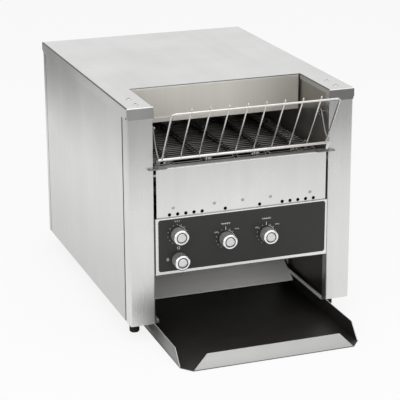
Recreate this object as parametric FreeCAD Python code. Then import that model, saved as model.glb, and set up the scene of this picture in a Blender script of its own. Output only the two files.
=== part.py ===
import FreeCAD, Part
import math
import os

# Conveyor toaster for a counter, in millimetres.
# X is across, Y runs from the front to the back, Z is up.
# Pieces are drawn from the front plane of the columns and the underside of the cabinet,
# and move to the part's own origin, the middle of its footprint, when they are written.

V = FreeCAD.Vector
ACROSS = V(1, 0, 0)
BACK = V(0, 1, 0)
UP = V(0, 0, 1)

# Sheet steel and general fits
sheet = 1.2
fold_radius = 0.8
seat_gap = 0.3
sheet_gap = 0.5
fixed_fit = 0.05
running_fit = 0.05
overrun = 5.0

# Widths of the front
recess_width = 288.0
column_width = 40.0
cabinet_width = recess_width + 2 * column_width
half_recess = recess_width / 2
half_cabinet = cabinet_width / 2

# Heights, stacked from the underside of the cabinet
outlet_height = 79.5
control_height = 92.0
vent_panel_height = 78.9
mouth_height = 40.0
hood_height = 57.6
control_top = outlet_height + control_height
belt_level = control_top + vent_panel_height
hood_bottom = belt_level + mouth_height
cabinet_height = hood_bottom + hood_height
cover_underside = cabinet_height - sheet

# Wire belt and its sprockets
belt_pitch = 10.0
belt_strand = 2.0
belt_side_gap = 12.2
belt_front_gap = 14.0
run_pitches = 26
sprocket_teeth = 16
link_strand = 2.4
bend_wire_inset = 0.1
belt_edge_strand = 3.0
link_line_shares = (-0.8, -0.4, 0.0, 0.4, 0.8)
belt_radius = belt_pitch * sprocket_teeth / (2 * math.pi)
belt_centre_z = belt_level - belt_strand / 2
shaft_z = belt_centre_z - belt_radius
front_axis_y = belt_front_gap + belt_radius + belt_strand / 2
rear_axis_y = front_axis_y + run_pitches * belt_pitch
wall_face = half_recess + sheet
wall_back = wall_face + sheet
half_belt = wall_face - belt_side_gap

# Depths
chute_depth = 73.0
rear_room = 92.9
notch_depth = 115.5
deflector_y = rear_axis_y + belt_radius + belt_strand / 2 + chute_depth
cabinet_depth = deflector_y + sheet + rear_room
back_inside = cabinet_depth - sheet

# Front columns, side panels and back panel
column_return = 24.0
column_inner_return = 14.0
seam_gap = 4.0
panel_return = 10.0
back_return = 14.0
shell_top = cover_underside - fold_radius
side_front_y = column_return + seam_gap
side_rear_y = cabinet_depth - back_return - sheet_gap

# Top cover
cover_flange = 18.0
notch_flange = 8.0
relief_width = 7.0
relief_height = 4.0
cover_underlap = cabinet_height - cover_flange

# Hood panel behind the notch
hood_side_gap = 2.5
hood_hem = 7.0
hood_top_return = 12.0

# Front panel below the belt, its vents and rivets
panel_side_gap = 4.0
ledge_depth = 14.0
lower_fold = 10.0
vent_radius = 2.8
vent_rise = 4.0
rivet_rise = 14.5
vent_places_share = (0.099, 0.231, 0.277, 0.323, 0.369, 0.415)
rivet_places_share = (-0.394, -0.162, 0.0, 0.162, 0.394)

# Control panel, overlay and the box behind them
bezel_gap = 1.2
bezel_depth = 3.0
bezel_round = 1.5
overlay_thickness = 0.4
overlay_side_margin = 4.0
overlay_top_margin = 2.4
overlay_bottom_margin = 5.8
overlay_corner = 4.0
control_box_depth = 78.0
control_box_lip = 8.0

# Rotary controls and their knobs
control_places_shares = {
    "speed": (-0.3750, 0.702),
    "top_heat": (-0.1010, 0.523),
    "bottom_heat": (0.1347, 0.517),
    "power": (-0.3698, 0.259),
}
control_body_width = 28.0
control_body_depth = 22.0
bush_radius = 4.5
bush_proud = 0.6
bush_hole_gap = 0.4
shaft_radius = 3.0
shaft_seat_depth = 14.0
shaft_end_gap = 0.4
knob_radius = 12.0
knob_length = 20.0
knob_clearance = 1.0
knob_flutes = 36
flute_depth = 0.5
knob_rim = 1.2
cap_inset = 0.7
cap_thickness = 1.8
cap_groove_outer = 8.0
cap_groove_inner = 6.2
cap_groove_depth = 1.1
knob_shaft_grip = 12.0
terminal_tab_width = 6.3
terminal_tab_thickness = 0.8
terminal_tab_length = 8.0
tab_places_share = (-0.5, 0.5)

# Outlet ramp, rear deflector and shields
ramp_angle = 30.0
ramp_front_y = 115.0
ramp_front_z = -6.0
ramp_neck_gap = 1.0
ramp_flange = 10.0
deflector_return = 12.0
outlet_inset = 6.2
outlet_opening_depth = 140.0
outlet_upstand = 5.0
shield_drop = 10.0
shield_front_y = 20.0
shield_flange = 8.0
upper_reflector_share = 0.62
reflector_flange_share = 0.18
upper_element_share = 0.31
lower_reflector_rise = 9.0
lower_reflector_flange = 8.0

# Heating elements
element_radius = 4.0
element_overhang = 10.0
terminal_pin_radius = 1.5
terminal_pin_length = 9.0
upper_element_places_share = (0.12, 0.38, 0.64, 0.90)
lower_element_places_share = (0.20, 0.40, 0.60, 0.80)
lower_element_gap = 9.0
insulator_radius = 7.0
insulator_flange_radius = 9.0
insulator_flange = 3.0
insulator_proud = 1.2

# Shafts, bushings and chain drive
axle_radius = 5.0
axle_overhang = 8.0
bushing_radius = 8.0
bushing_flange_radius = 11.0
bushing_flange = 3.0
bushing_proud = 1.0
sprocket_width = 6.0
sprocket_hub_radius = 9.0
sprocket_hub_length = 14.0
tooth_gap = 0.5
tooth_height = 4.0
tooth_root_share = 0.32
tooth_tip_share = 0.14
sprocket_places_share = (-0.8, -0.3, 0.3, 0.8)
chain_pitch = 8.0
driven_teeth = 20
motor_teeth = 12
chain_width = 5.0
chain_thickness = 5.0
chain_wall_gap = 13.0
chain_tooth_height = 3.0
chain_hub_length = 4.0
axle_end = 5.0

# Gear motor
motor_height = 70.0
motor_depth_share = 0.48
gearbox_size = 60.0
gearbox_width = 50.0
gearbox_round = 4.0
output_radius = 4.0
output_seat_depth = 30.0
output_hole_gap = 3.0
motor_radius = 26.0
motor_length = 64.0
motor_cap = 8.0
motor_cap_radius = 20.0

# Cooling fan
fan_size = 92.0
fan_depth = 25.0
fan_bore_radius = 42.0
fan_tip_gap = 1.5
fan_hub_radius = 17.0
fan_blades = 7
blade_thickness = 1.6
blade_angle = 35.0
fan_spider = 3.0
fan_spider_gap = 1.0
fan_arms = 3
fan_arm_width = 6.0
fan_pin_radius = 2.0
fan_pin_length_share = 0.7
fan_blade_span_share = 0.8
fan_side_place_share = -0.26
fan_height = 100.0
guard_wire = 2.0
guard_rings_share = (0.30, 0.55, 0.80, 1.04)
guard_standoff = 5.0
guard_weld_share = 0.7
guard_lug_radius = 5.0

# Floor slots, back panel louvres, gland and terminal block
floor_slot_rows_share = (0.14, 0.28, 0.42, 0.56, 0.70)
slot_length = 46.0
slot_width = 4.0
slot_columns_share = (-0.29, 0.0, 0.29)
slot_rows_share = (0.60, 0.64, 0.68, 0.72, 0.76, 0.80, 0.84, 0.88)
gland_side_place_share = 0.30
gland_height = 32.0
gland_hex_radius = 12.0
gland_body_radius = 9.0
gland_bore_radius = 4.5
gland_hex_depth = 6.0
gland_nose = 10.0
gland_nose_radius = 6.8
gland_flats = 6
gland_nut_depth = 5.0
gland_hole_gap = 0.1
block_length = 60.0
block_depth = 20.0
block_height = 18.0
block_ways = 3
block_pocket_radius = 3.5
block_pocket_depth = 12.0
block_rear_gap = 26.0
block_side_place_share = 0.04

# Feet
foot_height = 25.0
foot_radius = 8.0
foot_round = 4.0
foot_tray_gap = 12.0
foot_end_inset = 41.0
rear_foot_shift = 10.0
foot_stud_radius = 3.0
foot_stud_height = 6.0
foot_hole_gap = 0.1

# Tray that slides out between the feet
tray_reach = 137.0
tray_half_overlap = 2.0
tray_rear_y = 190.0
tray_rear_lip = 8.0
tray_wall_end_y = 96.0
tray_wall_foot_y = 119.0
tray_lip_lean = 3.5
tray_lip_height = 24.0
tray_corner = 15.0
tray_lip_slope = 23.3

# Feed rack of welded wire
rack_rod_radius = 2.2
rack_frame_radius = 1.6
rack_wire_radius = 1.2
rack_frame_inset = 10.0
rack_foot_reach = 10.0
rack_foot_rise = 16.3
rack_top_reach = 60.0
rack_top_rise = 98.8
rack_corner = 5.0
rack_tip = 5.5
rack_wire_places_share = (0.110, 0.330, 0.551, 0.771)
rack_arm_radius = 1.5
rack_arm_inset = 5.2
rack_pin_radius = 2.0
rack_pin_length = 11.2
rack_pin_y = 22.0
rack_pin_rise = 57.5
rack_hook_drop = 6.0
rack_knee_y = 4.0
rack_knee_rise = 32.0
rack_tab_top = 7.0
rack_tab_bottom = 3.0
rack_tab_y = -3.0
rack_rest_reach = 10.0
rack_rest_inset = 16.0
rack_rest_front = 6.0
rack_rest_back = 8.0
rack_rest_hole_radius = 1.3

# Screws and rivets
screw_head_radius = 4.5
screw_head_height = 1.0
screw_shank_radius = 1.9
screw_hole_gap = 0.1
screw_length = 8.0
screw_round_share = 0.6
rivet_head_radius = 2.6
rivet_head_height = 0.9
rivet_shank_radius = 1.4
rivet_length = 4.0
cover_screw_places_y = (21.5, 55.4)
back_screw_inset = 7.0
back_screw_rows_share = (0.05, 0.35, 0.65, 0.92)

# Sizes worked out from the ones above
floor_z = -foot_height
tray_wall_top = -seat_gap
half_tray = half_recess + tray_half_overlap
bezel_face = -bezel_depth
overlay_face = bezel_face - overlay_thickness
panel_back = bezel_face + sheet
knob_back = overlay_face - knob_clearance
knob_front = knob_back - knob_length
ramp_slope = math.tan(math.radians(ramp_angle))
ramp_width_z = sheet / math.cos(math.radians(ramp_angle))
front_panel_half = half_recess - panel_side_gap
motor_y = deflector_y + sheet + rear_room * motor_depth_share
chain_x = wall_back + chain_wall_gap
driven_radius = chain_pitch * driven_teeth / (2 * math.pi)
motor_sprocket_radius = chain_pitch * motor_teeth / (2 * math.pi)
axle_right_end = chain_x + chain_width / 2 + axle_end
upper_element_z = hood_bottom + hood_height * upper_element_share
upper_reflector_z = hood_bottom + hood_height * upper_reflector_share
lower_element_z = belt_centre_z - belt_strand / 2 - lower_element_gap - element_radius
lower_reflector_z = shaft_z - belt_radius + belt_strand / 2 + lower_reflector_rise
shield_z = shaft_z - belt_radius - belt_strand / 2 - shield_drop
guard_front = cabinet_depth + guard_standoff
gland_reach = gland_hex_depth + gland_nose
rear_reach = max(gland_reach, guard_standoff + guard_wire)
rack_foot = V(0, -rack_foot_reach, belt_level + rack_foot_rise)
rack_head = V(0, -rack_top_reach, belt_level + rack_top_rise)

# The part's origin is under the middle of its whole length
overall_length = tray_reach + cabinet_depth + rear_reach
to_part_frame = V(0, tray_reach - overall_length / 2, foot_height)


def save(name, *solids):
    """Writes one node, moved to the part's frame."""
    shape = Part.makeCompound(list(solids)) if len(solids) > 1 else solids[0].copy()
    shape.translate(to_part_frame)
    shape.exportStep("parts/" + name + ".step")


def box(x0, x1, y0, y1, z0, z1):
    """A block between two corners."""
    return Part.makeBox(x1 - x0, y1 - y0, z1 - z0, V(x0, y0, z0))


def rod(start, end, radius):
    """A round bar between two points."""
    run = end - start
    return Part.makeCylinder(radius, run.Length, start, run)


def fuse(first, *others):
    """One solid from touching or crossing solids."""
    joined = first.fuse(list(others)).removeSplitter()
    return joined.Solids[0] if len(joined.Solids) == 1 else joined


def cut(body, *tools):
    """A solid with the tools taken away."""
    left = body.cut(list(tools))
    return left.Solids[0] if len(left.Solids) == 1 else left


def mirrored(shape):
    """The left-hand copy of a right-hand piece."""
    return shape.mirror(V(0, 0, 0), ACROSS)


def outline(points, radii):
    """A closed wire through corners, each rounded by its own radius."""
    count = len(points)
    edges = []
    previous_end = None
    first_start = None
    for i in range(count):
        corner = points[i]
        if radii[i] > 0:
            before = (points[i - 1] - corner).normalize()
            after = (points[(i + 1) % count] - corner).normalize()
            half_angle = before.getAngle(after) / 2
            reach = radii[i] / math.tan(half_angle)
            middle = (before + after).normalize()
            start = corner + before * reach
            end = corner + after * reach
            centre = corner + middle * (radii[i] / math.sin(half_angle))
            arc = Part.Arc(start, centre - middle * radii[i], end).toShape()
        else:
            start = corner
            end = corner
            arc = None
        if previous_end is None:
            first_start = start
        else:
            edges.append(Part.makeLine(previous_end, start))
        if arc:
            edges.append(arc)
        previous_end = end
    edges.append(Part.makeLine(previous_end, first_start))
    return Part.Wire(edges)


def prism(points, push, radii=None):
    """A flat outline pushed along a vector."""
    wire = outline(points, radii or [0] * len(points))
    return Part.Face(wire).extrude(push)


def folded(path, push):
    """A folded sheet: path is its outer face seen end on, and the sheet lies to the left of it."""
    normal = V(push).normalize()
    runs = [(path[i + 1] - path[i]).normalize() for i in range(len(path) - 1)]
    sides = [normal.cross(run) for run in runs]
    inner = [path[0] + sides[0] * sheet]
    outer_radii = [0]
    inner_radii = [0]
    for i in range(1, len(path) - 1):
        total = sides[i - 1] + sides[i]
        scale = sheet / (1 + sides[i - 1].dot(sides[i]))
        inner.append(path[i] + total * scale)
        turns_in = runs[i - 1].cross(runs[i]).dot(normal) > 0
        outer_radii.append(fold_radius + sheet if turns_in else fold_radius)
        inner_radii.append(fold_radius if turns_in else fold_radius + sheet)
    inner.append(path[-1] + sides[-1] * sheet)
    outer_radii.append(0)
    inner_radii.append(0)
    points = list(path) + inner[::-1]
    return prism(points, push, outer_radii + inner_radii[::-1])


def in_plan(x, y, z=0):
    """A point of a plan outline."""
    return V(x, y, z)


def in_side(y, z, x=0):
    """A point of a side outline."""
    return V(x, y, z)


def edges_where(shape, test):
    """The edges whose middle passes a test."""
    found = []
    for edge in shape.Edges:
        middle = edge.valueAt((edge.FirstParameter + edge.LastParameter) / 2)
        if test(middle):
            found.append(edge)
    return found


def near(value, target):
    """True where two lengths are the same within a small part of the sheet."""
    return abs(value - target) < sheet / 10


def control_place(name):
    """The centre of one control on the front."""
    across, rise = control_places_shares[name]
    return across * recess_width, outlet_height + rise * control_height


# Casing

def cover_screw_points():
    """The screws in the top of the cover, above the columns."""
    x = half_recess + column_width / 2
    return [V(side * x, y, cabinet_height) for side in (-1, 1) for y in cover_screw_places_y]


def back_screw_points():
    """The screws down both edges of the back panel."""
    x = half_cabinet - back_screw_inset
    return [V(side * x, cabinet_depth, share * cabinet_height)
            for side in (-1, 1) for share in back_screw_rows_share]


def rivet_points():
    """The rivets across the front panel."""
    z = control_top + rivet_rise
    return [V(share * recess_width, 0, z) for share in rivet_places_share]


def screw_hole(point, inward):
    """The clearance hole of one screw."""
    start = point - inward * overrun
    return rod(start, point + inward * (screw_length + overrun), screw_shank_radius + screw_hole_gap)


def cover_block(inset, half_notch, notch_back):
    """The space inside one skin of the cover, with its notch."""
    x = half_cabinet + sheet - inset
    top = cabinet_height - inset
    bottom = cover_underlap if inset == 0 else cover_underlap - overrun
    body = box(-x, x, inset - sheet, cabinet_depth + sheet - inset, bottom, top)
    gap = box(-half_notch, half_notch, -sheet - overrun, notch_back, bottom - overrun, top + overrun)
    body = cut(body, gap)
    radius = fold_radius + sheet - inset
    rim = edges_where(body, lambda p: near(p.z, top) and not near(p.y, notch_back))
    return body.makeFillet(radius, rim)


def top_cover():
    """The lid: a top sheet with a notch over the feed and flanges folded down all round."""
    outer = cover_block(0, half_recess - sheet, notch_depth)
    inner = cover_block(sheet, half_recess, notch_depth - sheet)
    shell = cut(outer, inner)
    short = box(-half_recess - sheet, half_recess + sheet, 0, notch_depth + overrun,
                cover_underlap - overrun, cabinet_height - notch_flange)
    tools = [short]
    for side in (-1, 1):
        for y in (-sheet, cabinet_depth + sheet - relief_width):
            x = side * half_cabinet
            reach = x + side * (sheet + overrun)
            tools.append(box(min(x, reach), max(x, reach), y, y + relief_width,
                             cover_underlap - overrun, cover_underlap + relief_height))
    tools += [screw_hole(point, -UP) for point in cover_screw_points()]
    return cut(shell, *tools)


def front_column():
    """The right front column: a channel with returns on both sides."""
    path = [in_plan(half_recess, column_inner_return), in_plan(half_recess, 0),
            in_plan(half_cabinet, 0), in_plan(half_cabinet, column_return)]
    return folded(path, UP * shell_top)


def side_panel():
    """The right side panel, with its front and rear edges folded inwards."""
    path = [in_plan(half_cabinet - panel_return, side_front_y), in_plan(half_cabinet, side_front_y),
            in_plan(half_cabinet, side_rear_y), in_plan(half_cabinet - panel_return, side_rear_y)]
    return folded(path, UP * shell_top)


def back_panel():
    """The back panel with side returns, louvres, fan opening and gland hole."""
    path = [in_plan(half_cabinet, cabinet_depth - back_return), in_plan(half_cabinet, cabinet_depth),
            in_plan(-half_cabinet, cabinet_depth), in_plan(-half_cabinet, cabinet_depth - back_return)]
    panel = folded(path, UP * shell_top)
    y0 = back_inside - overrun
    y1 = cabinet_depth + overrun
    tools = [screw_hole(point, -BACK) for point in back_screw_points()]
    tools.append(rod(V(fan_x(), y0, fan_height), V(fan_x(), y1, fan_height), fan_bore_radius))
    gland_hole = gland_body_radius + gland_hole_gap
    tools.append(rod(V(gland_x(), y0, gland_height), V(gland_x(), y1, gland_height), gland_hole))
    for column in slot_columns_share:
        for row in slot_rows_share:
            x = column * recess_width
            z = row * cabinet_height
            tools.append(box(x - slot_length / 2, x + slot_length / 2, y0, y1,
                             z - slot_width / 2, z + slot_width / 2))
    for corner in fan_corners():
        tools.append(rod(V(corner.x, y0, corner.z), V(corner.x, y1, corner.z),
                         rivet_shank_radius + screw_hole_gap))
    return cut(panel, *tools)


def foot_points():
    """The centres of the four feet."""
    front_x = half_tray + foot_tray_gap + foot_radius
    rear_x = front_x - rear_foot_shift
    return [V(side * x, y, 0) for side in (-1, 1)
            for x, y in ((front_x, foot_end_inset), (rear_x, cabinet_depth - foot_end_inset))]


def base_pan():
    """The floor of the cabinet, open at the front as an outlet."""
    x = half_cabinet - sheet - fold_radius
    opening_x = half_recess - outlet_inset
    wall = panel_return + sheet
    front_y = sheet + fold_radius
    rear_y = back_inside - fold_radius
    floor = box(-x, x, front_y, rear_y, 0, sheet)
    sides = [box(side * x - (sheet if side > 0 else 0), side * x + (0 if side > 0 else sheet),
                 side_front_y + panel_return, side_rear_y - panel_return, 0, wall) for side in (-1, 1)]
    rear = box(-x + panel_return, x - panel_return, rear_y - sheet, rear_y, 0, wall)
    lips = [box(side * opening_x - (0 if side > 0 else sheet),
                side * opening_x + (sheet if side > 0 else 0),
                front_y, outlet_opening_depth, 0, outlet_upstand + sheet) for side in (-1, 1)]
    opening = box(-opening_x, opening_x, -overrun, outlet_opening_depth, -overrun, wall + overrun)
    tools = [opening]
    for side in (-1, 1):
        near_x = side * (half_cabinet - panel_return - sheet_gap)
        far_x = side * half_cabinet
        for y in (side_front_y - sheet_gap, side_rear_y - sheet - sheet_gap):
            tools.append(box(min(near_x, far_x), max(near_x, far_x), y, y + sheet + 2 * sheet_gap,
                             -overrun, wall + overrun))
        near_x = side * (half_recess - sheet_gap)
        far_x = side * (wall_face + sheet_gap)
        tools.append(box(min(near_x, far_x), max(near_x, far_x), 0, column_inner_return + sheet_gap,
                         -overrun, wall + overrun))
    for point in foot_points():
        tools.append(rod(point - UP * overrun, point + UP * overrun, foot_stud_radius + foot_hole_gap))
    for share in floor_slot_rows_share:
        y = deflector_y + sheet + rear_room * share
        tools.append(box(fan_x() - slot_length / 2, fan_x() + slot_length / 2,
                         y - slot_width / 2, y + slot_width / 2, -overrun, sheet + overrun))
    return cut(fuse(floor, rear, *sides, *lips), *tools)


def inner_wall(side):
    """One inner wall between the hot chamber and its side channel."""
    front_y = sheet + fold_radius
    rear_y = back_inside - fold_radius - sheet - seat_gap
    upright = box(wall_face, wall_back, front_y, rear_y, sheet, cover_underside)
    foot = box(wall_face, wall_back + panel_return, front_y, rear_y, sheet, 2 * sheet)
    head = box(wall_face, wall_back + panel_return, notch_depth, rear_y,
               cover_underside - sheet, cover_underside)
    heel = box(wall_face, wall_back + panel_return, rear_y - sheet, rear_y, sheet, cover_underside)
    x0 = wall_face - overrun
    x1 = wall_back + panel_return / 2
    tools = []
    for y, z in axle_places():
        tools.append(rod(V(x0, y, z), V(x1, y, z), bushing_radius + fixed_fit))
    for y, z in element_places():
        tools.append(rod(V(x0, y, z), V(x1, y, z), insulator_radius + fixed_fit))
    for point in foot_points():
        tools.append(rod(point, point + UP * overrun, foot_stud_radius + seat_gap))
    if side > 0:
        tools.append(rod(V(x0, motor_y, motor_height), V(x1, motor_y, motor_height),
                         output_radius + output_hole_gap))
    wall = cut(fuse(upright, foot, head, heel), *tools)
    return wall if side > 0 else mirrored(wall)


def hood_panel():
    """The panel behind the notch, with a hem along its lower edge and a return under the cover."""
    x = half_recess - hood_side_gap
    path = [in_side(notch_depth + hood_top_return, cover_underside, -x),
            in_side(notch_depth, cover_underside, -x), in_side(notch_depth, hood_bottom, -x)]
    panel = folded(path, ACROSS * (2 * x))
    hem = box(-x, x, notch_depth - sheet, notch_depth, hood_bottom, hood_bottom + hood_hem)
    return fuse(panel, hem)


def front_panel():
    """The front sheet below the belt: ledge, vents, rivet holes and the window of the controls."""
    x = front_panel_half
    path = [in_side(ledge_depth, belt_level, -x), in_side(0, belt_level, -x),
            in_side(0, outlet_height, -x), in_side(lower_fold, outlet_height, -x)]
    panel = folded(path, ACROSS * (2 * x))
    tools = control_openings()
    vent_z = control_top + vent_rise
    for side in (-1, 1):
        for share in vent_places_share:
            start = V(side * share * recess_width, -overrun, vent_z)
            tools.append(rod(start, start + BACK * (2 * overrun), vent_radius))
    for point in rivet_points():
        tools.append(rod(point - BACK * overrun, point + BACK * overrun,
                         rivet_shank_radius + screw_hole_gap))
    return cut(panel, *tools)


def control_openings():
    """The room that each control's body takes through the sheets behind the control panel."""
    half = control_body_width / 2 + sheet_gap
    return [box(px - half, px + half, -overrun, 2 * sheet + overrun, pz - half, pz + half)
            for px, pz in map(control_place, control_places_shares)]


def control_panel():
    """The raised steel surround of the controls."""
    x = half_recess - bezel_gap
    outer = box(-x, x, bezel_face, 0, outlet_height, control_top)
    rim = edges_where(outer, lambda p: near(p.y, bezel_face))
    outer = outer.makeFillet(bezel_round, rim)
    inner = box(-x + sheet, x - sheet, panel_back, overrun, outlet_height + sheet, control_top - sheet)
    holes = [rod(V(px, bezel_face - overrun, pz), V(px, overrun, pz), bush_radius + bush_hole_gap)
             for px, pz in map(control_place, control_places_shares)]
    return cut(outer, inner, *holes)


def control_overlay():
    """The dark printed sheet on the control panel."""
    x = half_recess - bezel_gap - overlay_side_margin
    z0 = outlet_height + overlay_bottom_margin
    z1 = control_top - overlay_top_margin
    corners = [V(-x, overlay_face, z0), V(x, overlay_face, z0),
               V(x, overlay_face, z1), V(-x, overlay_face, z1)]
    plate = prism(corners, BACK * overlay_thickness, [overlay_corner] * len(corners))
    holes = [rod(V(px, overlay_face - overrun, pz), V(px, overrun, pz), bush_radius + bush_hole_gap)
             for px, pz in map(control_place, control_places_shares)]
    return cut(plate, *holes)


def control_box():
    """The box that shields the controls from heat."""
    x = half_recess - seat_gap
    y0 = sheet
    z0 = outlet_height + sheet
    outer = box(-x, x, y0, control_box_depth, z0, control_top)
    inner = box(-x + sheet, x - sheet, y0 + sheet, control_box_depth - sheet,
                z0 + sheet, control_top - sheet)
    lip = control_box_lip
    window = box(-x + lip, x - lip, y0 - overrun, y0 + sheet + overrun, z0 + lip, control_top - lip)
    fold = box(-x - overrun, x + overrun, y0 - overrun, lower_fold + seat_gap,
               z0 - overrun, z0 + fold_radius)
    return cut(outer, inner, window, fold, *control_openings())


# Outlet path

def ramp_z(y):
    """Height of the ramp's upper face."""
    return ramp_front_z + (y - ramp_front_y) * ramp_slope


def toast_ramp():
    """The sloping sheet from the back of the belt down to the tray."""
    neck_x = half_recess - outlet_inset - ramp_neck_gap
    wide_x = wall_face - seat_gap
    neck_y = outlet_opening_depth + outlet_upstand + ramp_flange
    rear_y = deflector_y - seat_gap
    places = [(neck_x, ramp_front_y), (neck_x, neck_y), (wide_x, neck_y), (wide_x, rear_y)]
    right = [V(x, y, ramp_z(y)) for x, y in places]
    left = [V(-x, y, ramp_z(y)) for x, y in reversed(places)]
    plate = prism(right + left, -UP * ramp_width_z)
    flanges = []
    for side in (-1, 1):
        x = side * wide_x - (sheet if side > 0 else 0)
        edge = [in_side(y, ramp_z(y) - drop, x) for y, drop in
                ((neck_y, 0), (rear_y, 0), (rear_y, ramp_flange), (neck_y, ramp_flange))]
        flanges.append(prism(edge, ACROSS * sheet))
    return fuse(plate, *flanges)


def rear_deflector():
    """The upright sheet behind the belt, down to the head of the ramp."""
    x = wall_face - seat_gap
    path = [in_side(deflector_y, ramp_z(deflector_y), -x),
            in_side(deflector_y, cover_underside - sheet_gap, -x),
            in_side(deflector_y + deflector_return, cover_underside - sheet_gap, -x)]
    return folded(path[::-1], ACROSS * (2 * x))


def guard_sheet(z, y0, y1, flange):
    """A level sheet between the inner walls, with its side edges turned by a flange."""
    x = wall_face - seat_gap
    rise = UP * flange
    path = [V(-x, y0, z) + rise, V(-x, y0, z), V(x, y0, z), V(x, y0, z) + rise]
    if flange > 0:
        path = path[::-1]
    return folded(path, BACK * (y1 - y0))


def heat_shield():
    """The sheet between the belt and the outlet path."""
    return guard_sheet(shield_z, shield_front_y, rear_axis_y, shield_flange)


def upper_reflector():
    """The reflector over the upper elements."""
    y0 = notch_depth + hood_top_return / 2
    flange = hood_height * reflector_flange_share
    return guard_sheet(upper_reflector_z, y0, deflector_y - seat_gap, flange)


def lower_reflector():
    """The reflector under the lower elements, inside the belt loop."""
    reach = belt_radius + belt_strand
    return guard_sheet(lower_reflector_z, front_axis_y + reach, rear_axis_y - reach,
                       lower_reflector_flange)


# Heating elements

def upper_element_ys():
    """Places of the upper elements between the hood and the end of the belt."""
    start = notch_depth + sheet
    return [start + share * (rear_axis_y - start) for share in upper_element_places_share]


def lower_element_ys():
    """Places of the lower elements between the two sprocket shafts."""
    return [front_axis_y + share * (rear_axis_y - front_axis_y) for share in lower_element_places_share]


def element_places():
    """The centre of each element, seen from the side."""
    upper = [(y, upper_element_z) for y in upper_element_ys()]
    return upper + [(y, lower_element_z) for y in lower_element_ys()]


def element(y, z):
    """A sheathed tube with a terminal pin at each end."""
    x = wall_back + element_overhang
    pin = x + terminal_pin_length
    tube = rod(V(-x, y, z), V(x, y, z), element_radius)
    return fuse(tube, rod(V(-pin, y, z), V(pin, y, z), terminal_pin_radius))


def element_insulators():
    """The ceramic sleeves that carry the elements in the inner walls."""
    sleeves = []
    for y, z in element_places():
        body = rod(V(wall_face - insulator_proud, y, z), V(wall_back, y, z), insulator_radius)
        flange = rod(V(wall_back, y, z), V(wall_back + insulator_flange, y, z), insulator_flange_radius)
        bore = rod(V(wall_face - overrun, y, z), V(wall_back + 2 * overrun, y, z),
                   element_radius + fixed_fit)
        sleeve = cut(fuse(body, flange), bore)
        sleeves += [sleeve, mirrored(sleeve)]
    return sleeves


# Belt and drive

def straight_run(z):
    """A level stretch of the belt: cross wires joined by lines of links."""
    y0 = front_axis_y
    length = run_pitches * belt_pitch
    lines = [(-half_belt, belt_edge_strand), (half_belt - belt_edge_strand, belt_edge_strand)]
    lines += [(share * half_belt - link_strand / 2, link_strand) for share in link_line_shares]
    lines.sort()
    holes = []
    bottom = z - belt_strand / 2
    for i in range(len(lines) - 1):
        x0 = lines[i][0] + lines[i][1]
        x1 = lines[i + 1][0]
        for row in range(run_pitches):
            hole_y = y0 + row * belt_pitch + belt_strand / 2
            hole_end = hole_y + belt_pitch - belt_strand
            ring = [V(x0, hole_y, bottom), V(x1, hole_y, bottom),
                    V(x1, hole_end, bottom), V(x0, hole_end, bottom)]
            holes.append(Part.makePolygon(ring + ring[:1]))
    rim = [V(-half_belt, y0, bottom), V(half_belt, y0, bottom),
           V(half_belt, y0 + length, bottom), V(-half_belt, y0 + length, bottom)]
    face = Part.Face([Part.makePolygon(rim + rim[:1])] + holes)
    return face.extrude(UP * belt_strand)


def belt_bend(y, direction):
    """Half a turn of the belt round a shaft; direction is -1 at the front and 1 at the rear."""
    outer = belt_radius + belt_strand / 2
    inner = belt_radius - belt_strand / 2
    centre = V(0, y, shaft_z)
    lines = [(-half_belt, belt_edge_strand), (half_belt - belt_edge_strand, belt_edge_strand)]
    lines += [(share * half_belt - link_strand / 2, link_strand) for share in link_line_shares]
    bands = []
    for x0, width in lines:
        start = V(x0, y, shaft_z)
        ring = cut(rod(start, start + ACROSS * width, outer), rod(start, start + ACROSS * width, inner))
        keep_y = (y - outer, y) if direction < 0 else (y, y + outer)
        half = box(x0, x0 + width, keep_y[0], keep_y[1], shaft_z - outer, shaft_z + outer)
        bands.append(ring.common(half).Solids[0])
    steps = sprocket_teeth // 2
    wires = []
    for i in range(1, steps):
        angle = math.pi * i / steps
        arm = V(0, direction * math.sin(angle), math.cos(angle)) * belt_radius
        wires.append(rod(centre + arm - ACROSS * half_belt, centre + arm + ACROSS * half_belt,
                         belt_strand / 2 - bend_wire_inset))
    return fuse(bands[0], *bands[1:], *wires)


def toothed_disc(centre, teeth, tip, height, width, bore):
    """A sprocket wheel across the machine, with flat-topped teeth."""
    points = []
    root = tip - height
    step = 2 * math.pi / teeth
    for i in range(teeth):
        for share, radius in ((-tooth_root_share, root), (-tooth_tip_share, tip),
                              (tooth_tip_share, tip), (tooth_root_share, root)):
            angle = (i + share) * step
            points.append(centre + V(-width / 2, radius * math.sin(angle), radius * math.cos(angle)))
    start = centre - ACROSS * overrun * 2
    return cut(prism(points, ACROSS * width), rod(start, centre + ACROSS * overrun * 2, bore))


def belt_sprockets(y):
    """The sprockets of one shaft, each with a hub."""
    tip = belt_radius - belt_strand / 2 - tooth_gap
    wheels = []
    for share in sprocket_places_share:
        centre = V(share * half_belt, y, shaft_z)
        disc = toothed_disc(centre, sprocket_teeth, tip, tooth_height, sprocket_width,
                            axle_radius + fixed_fit)
        reach = ACROSS * (sprocket_hub_length / 2)
        hub = rod(centre - reach, centre + reach, sprocket_hub_radius)
        hub = cut(hub, rod(centre - reach * 2, centre + reach * 2, axle_radius + fixed_fit))
        wheels.append(fuse(disc, hub))
    return wheels


def axle_places():
    """The two belt shafts, seen from the side."""
    return [(front_axis_y, shaft_z), (rear_axis_y, shaft_z)]


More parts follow.
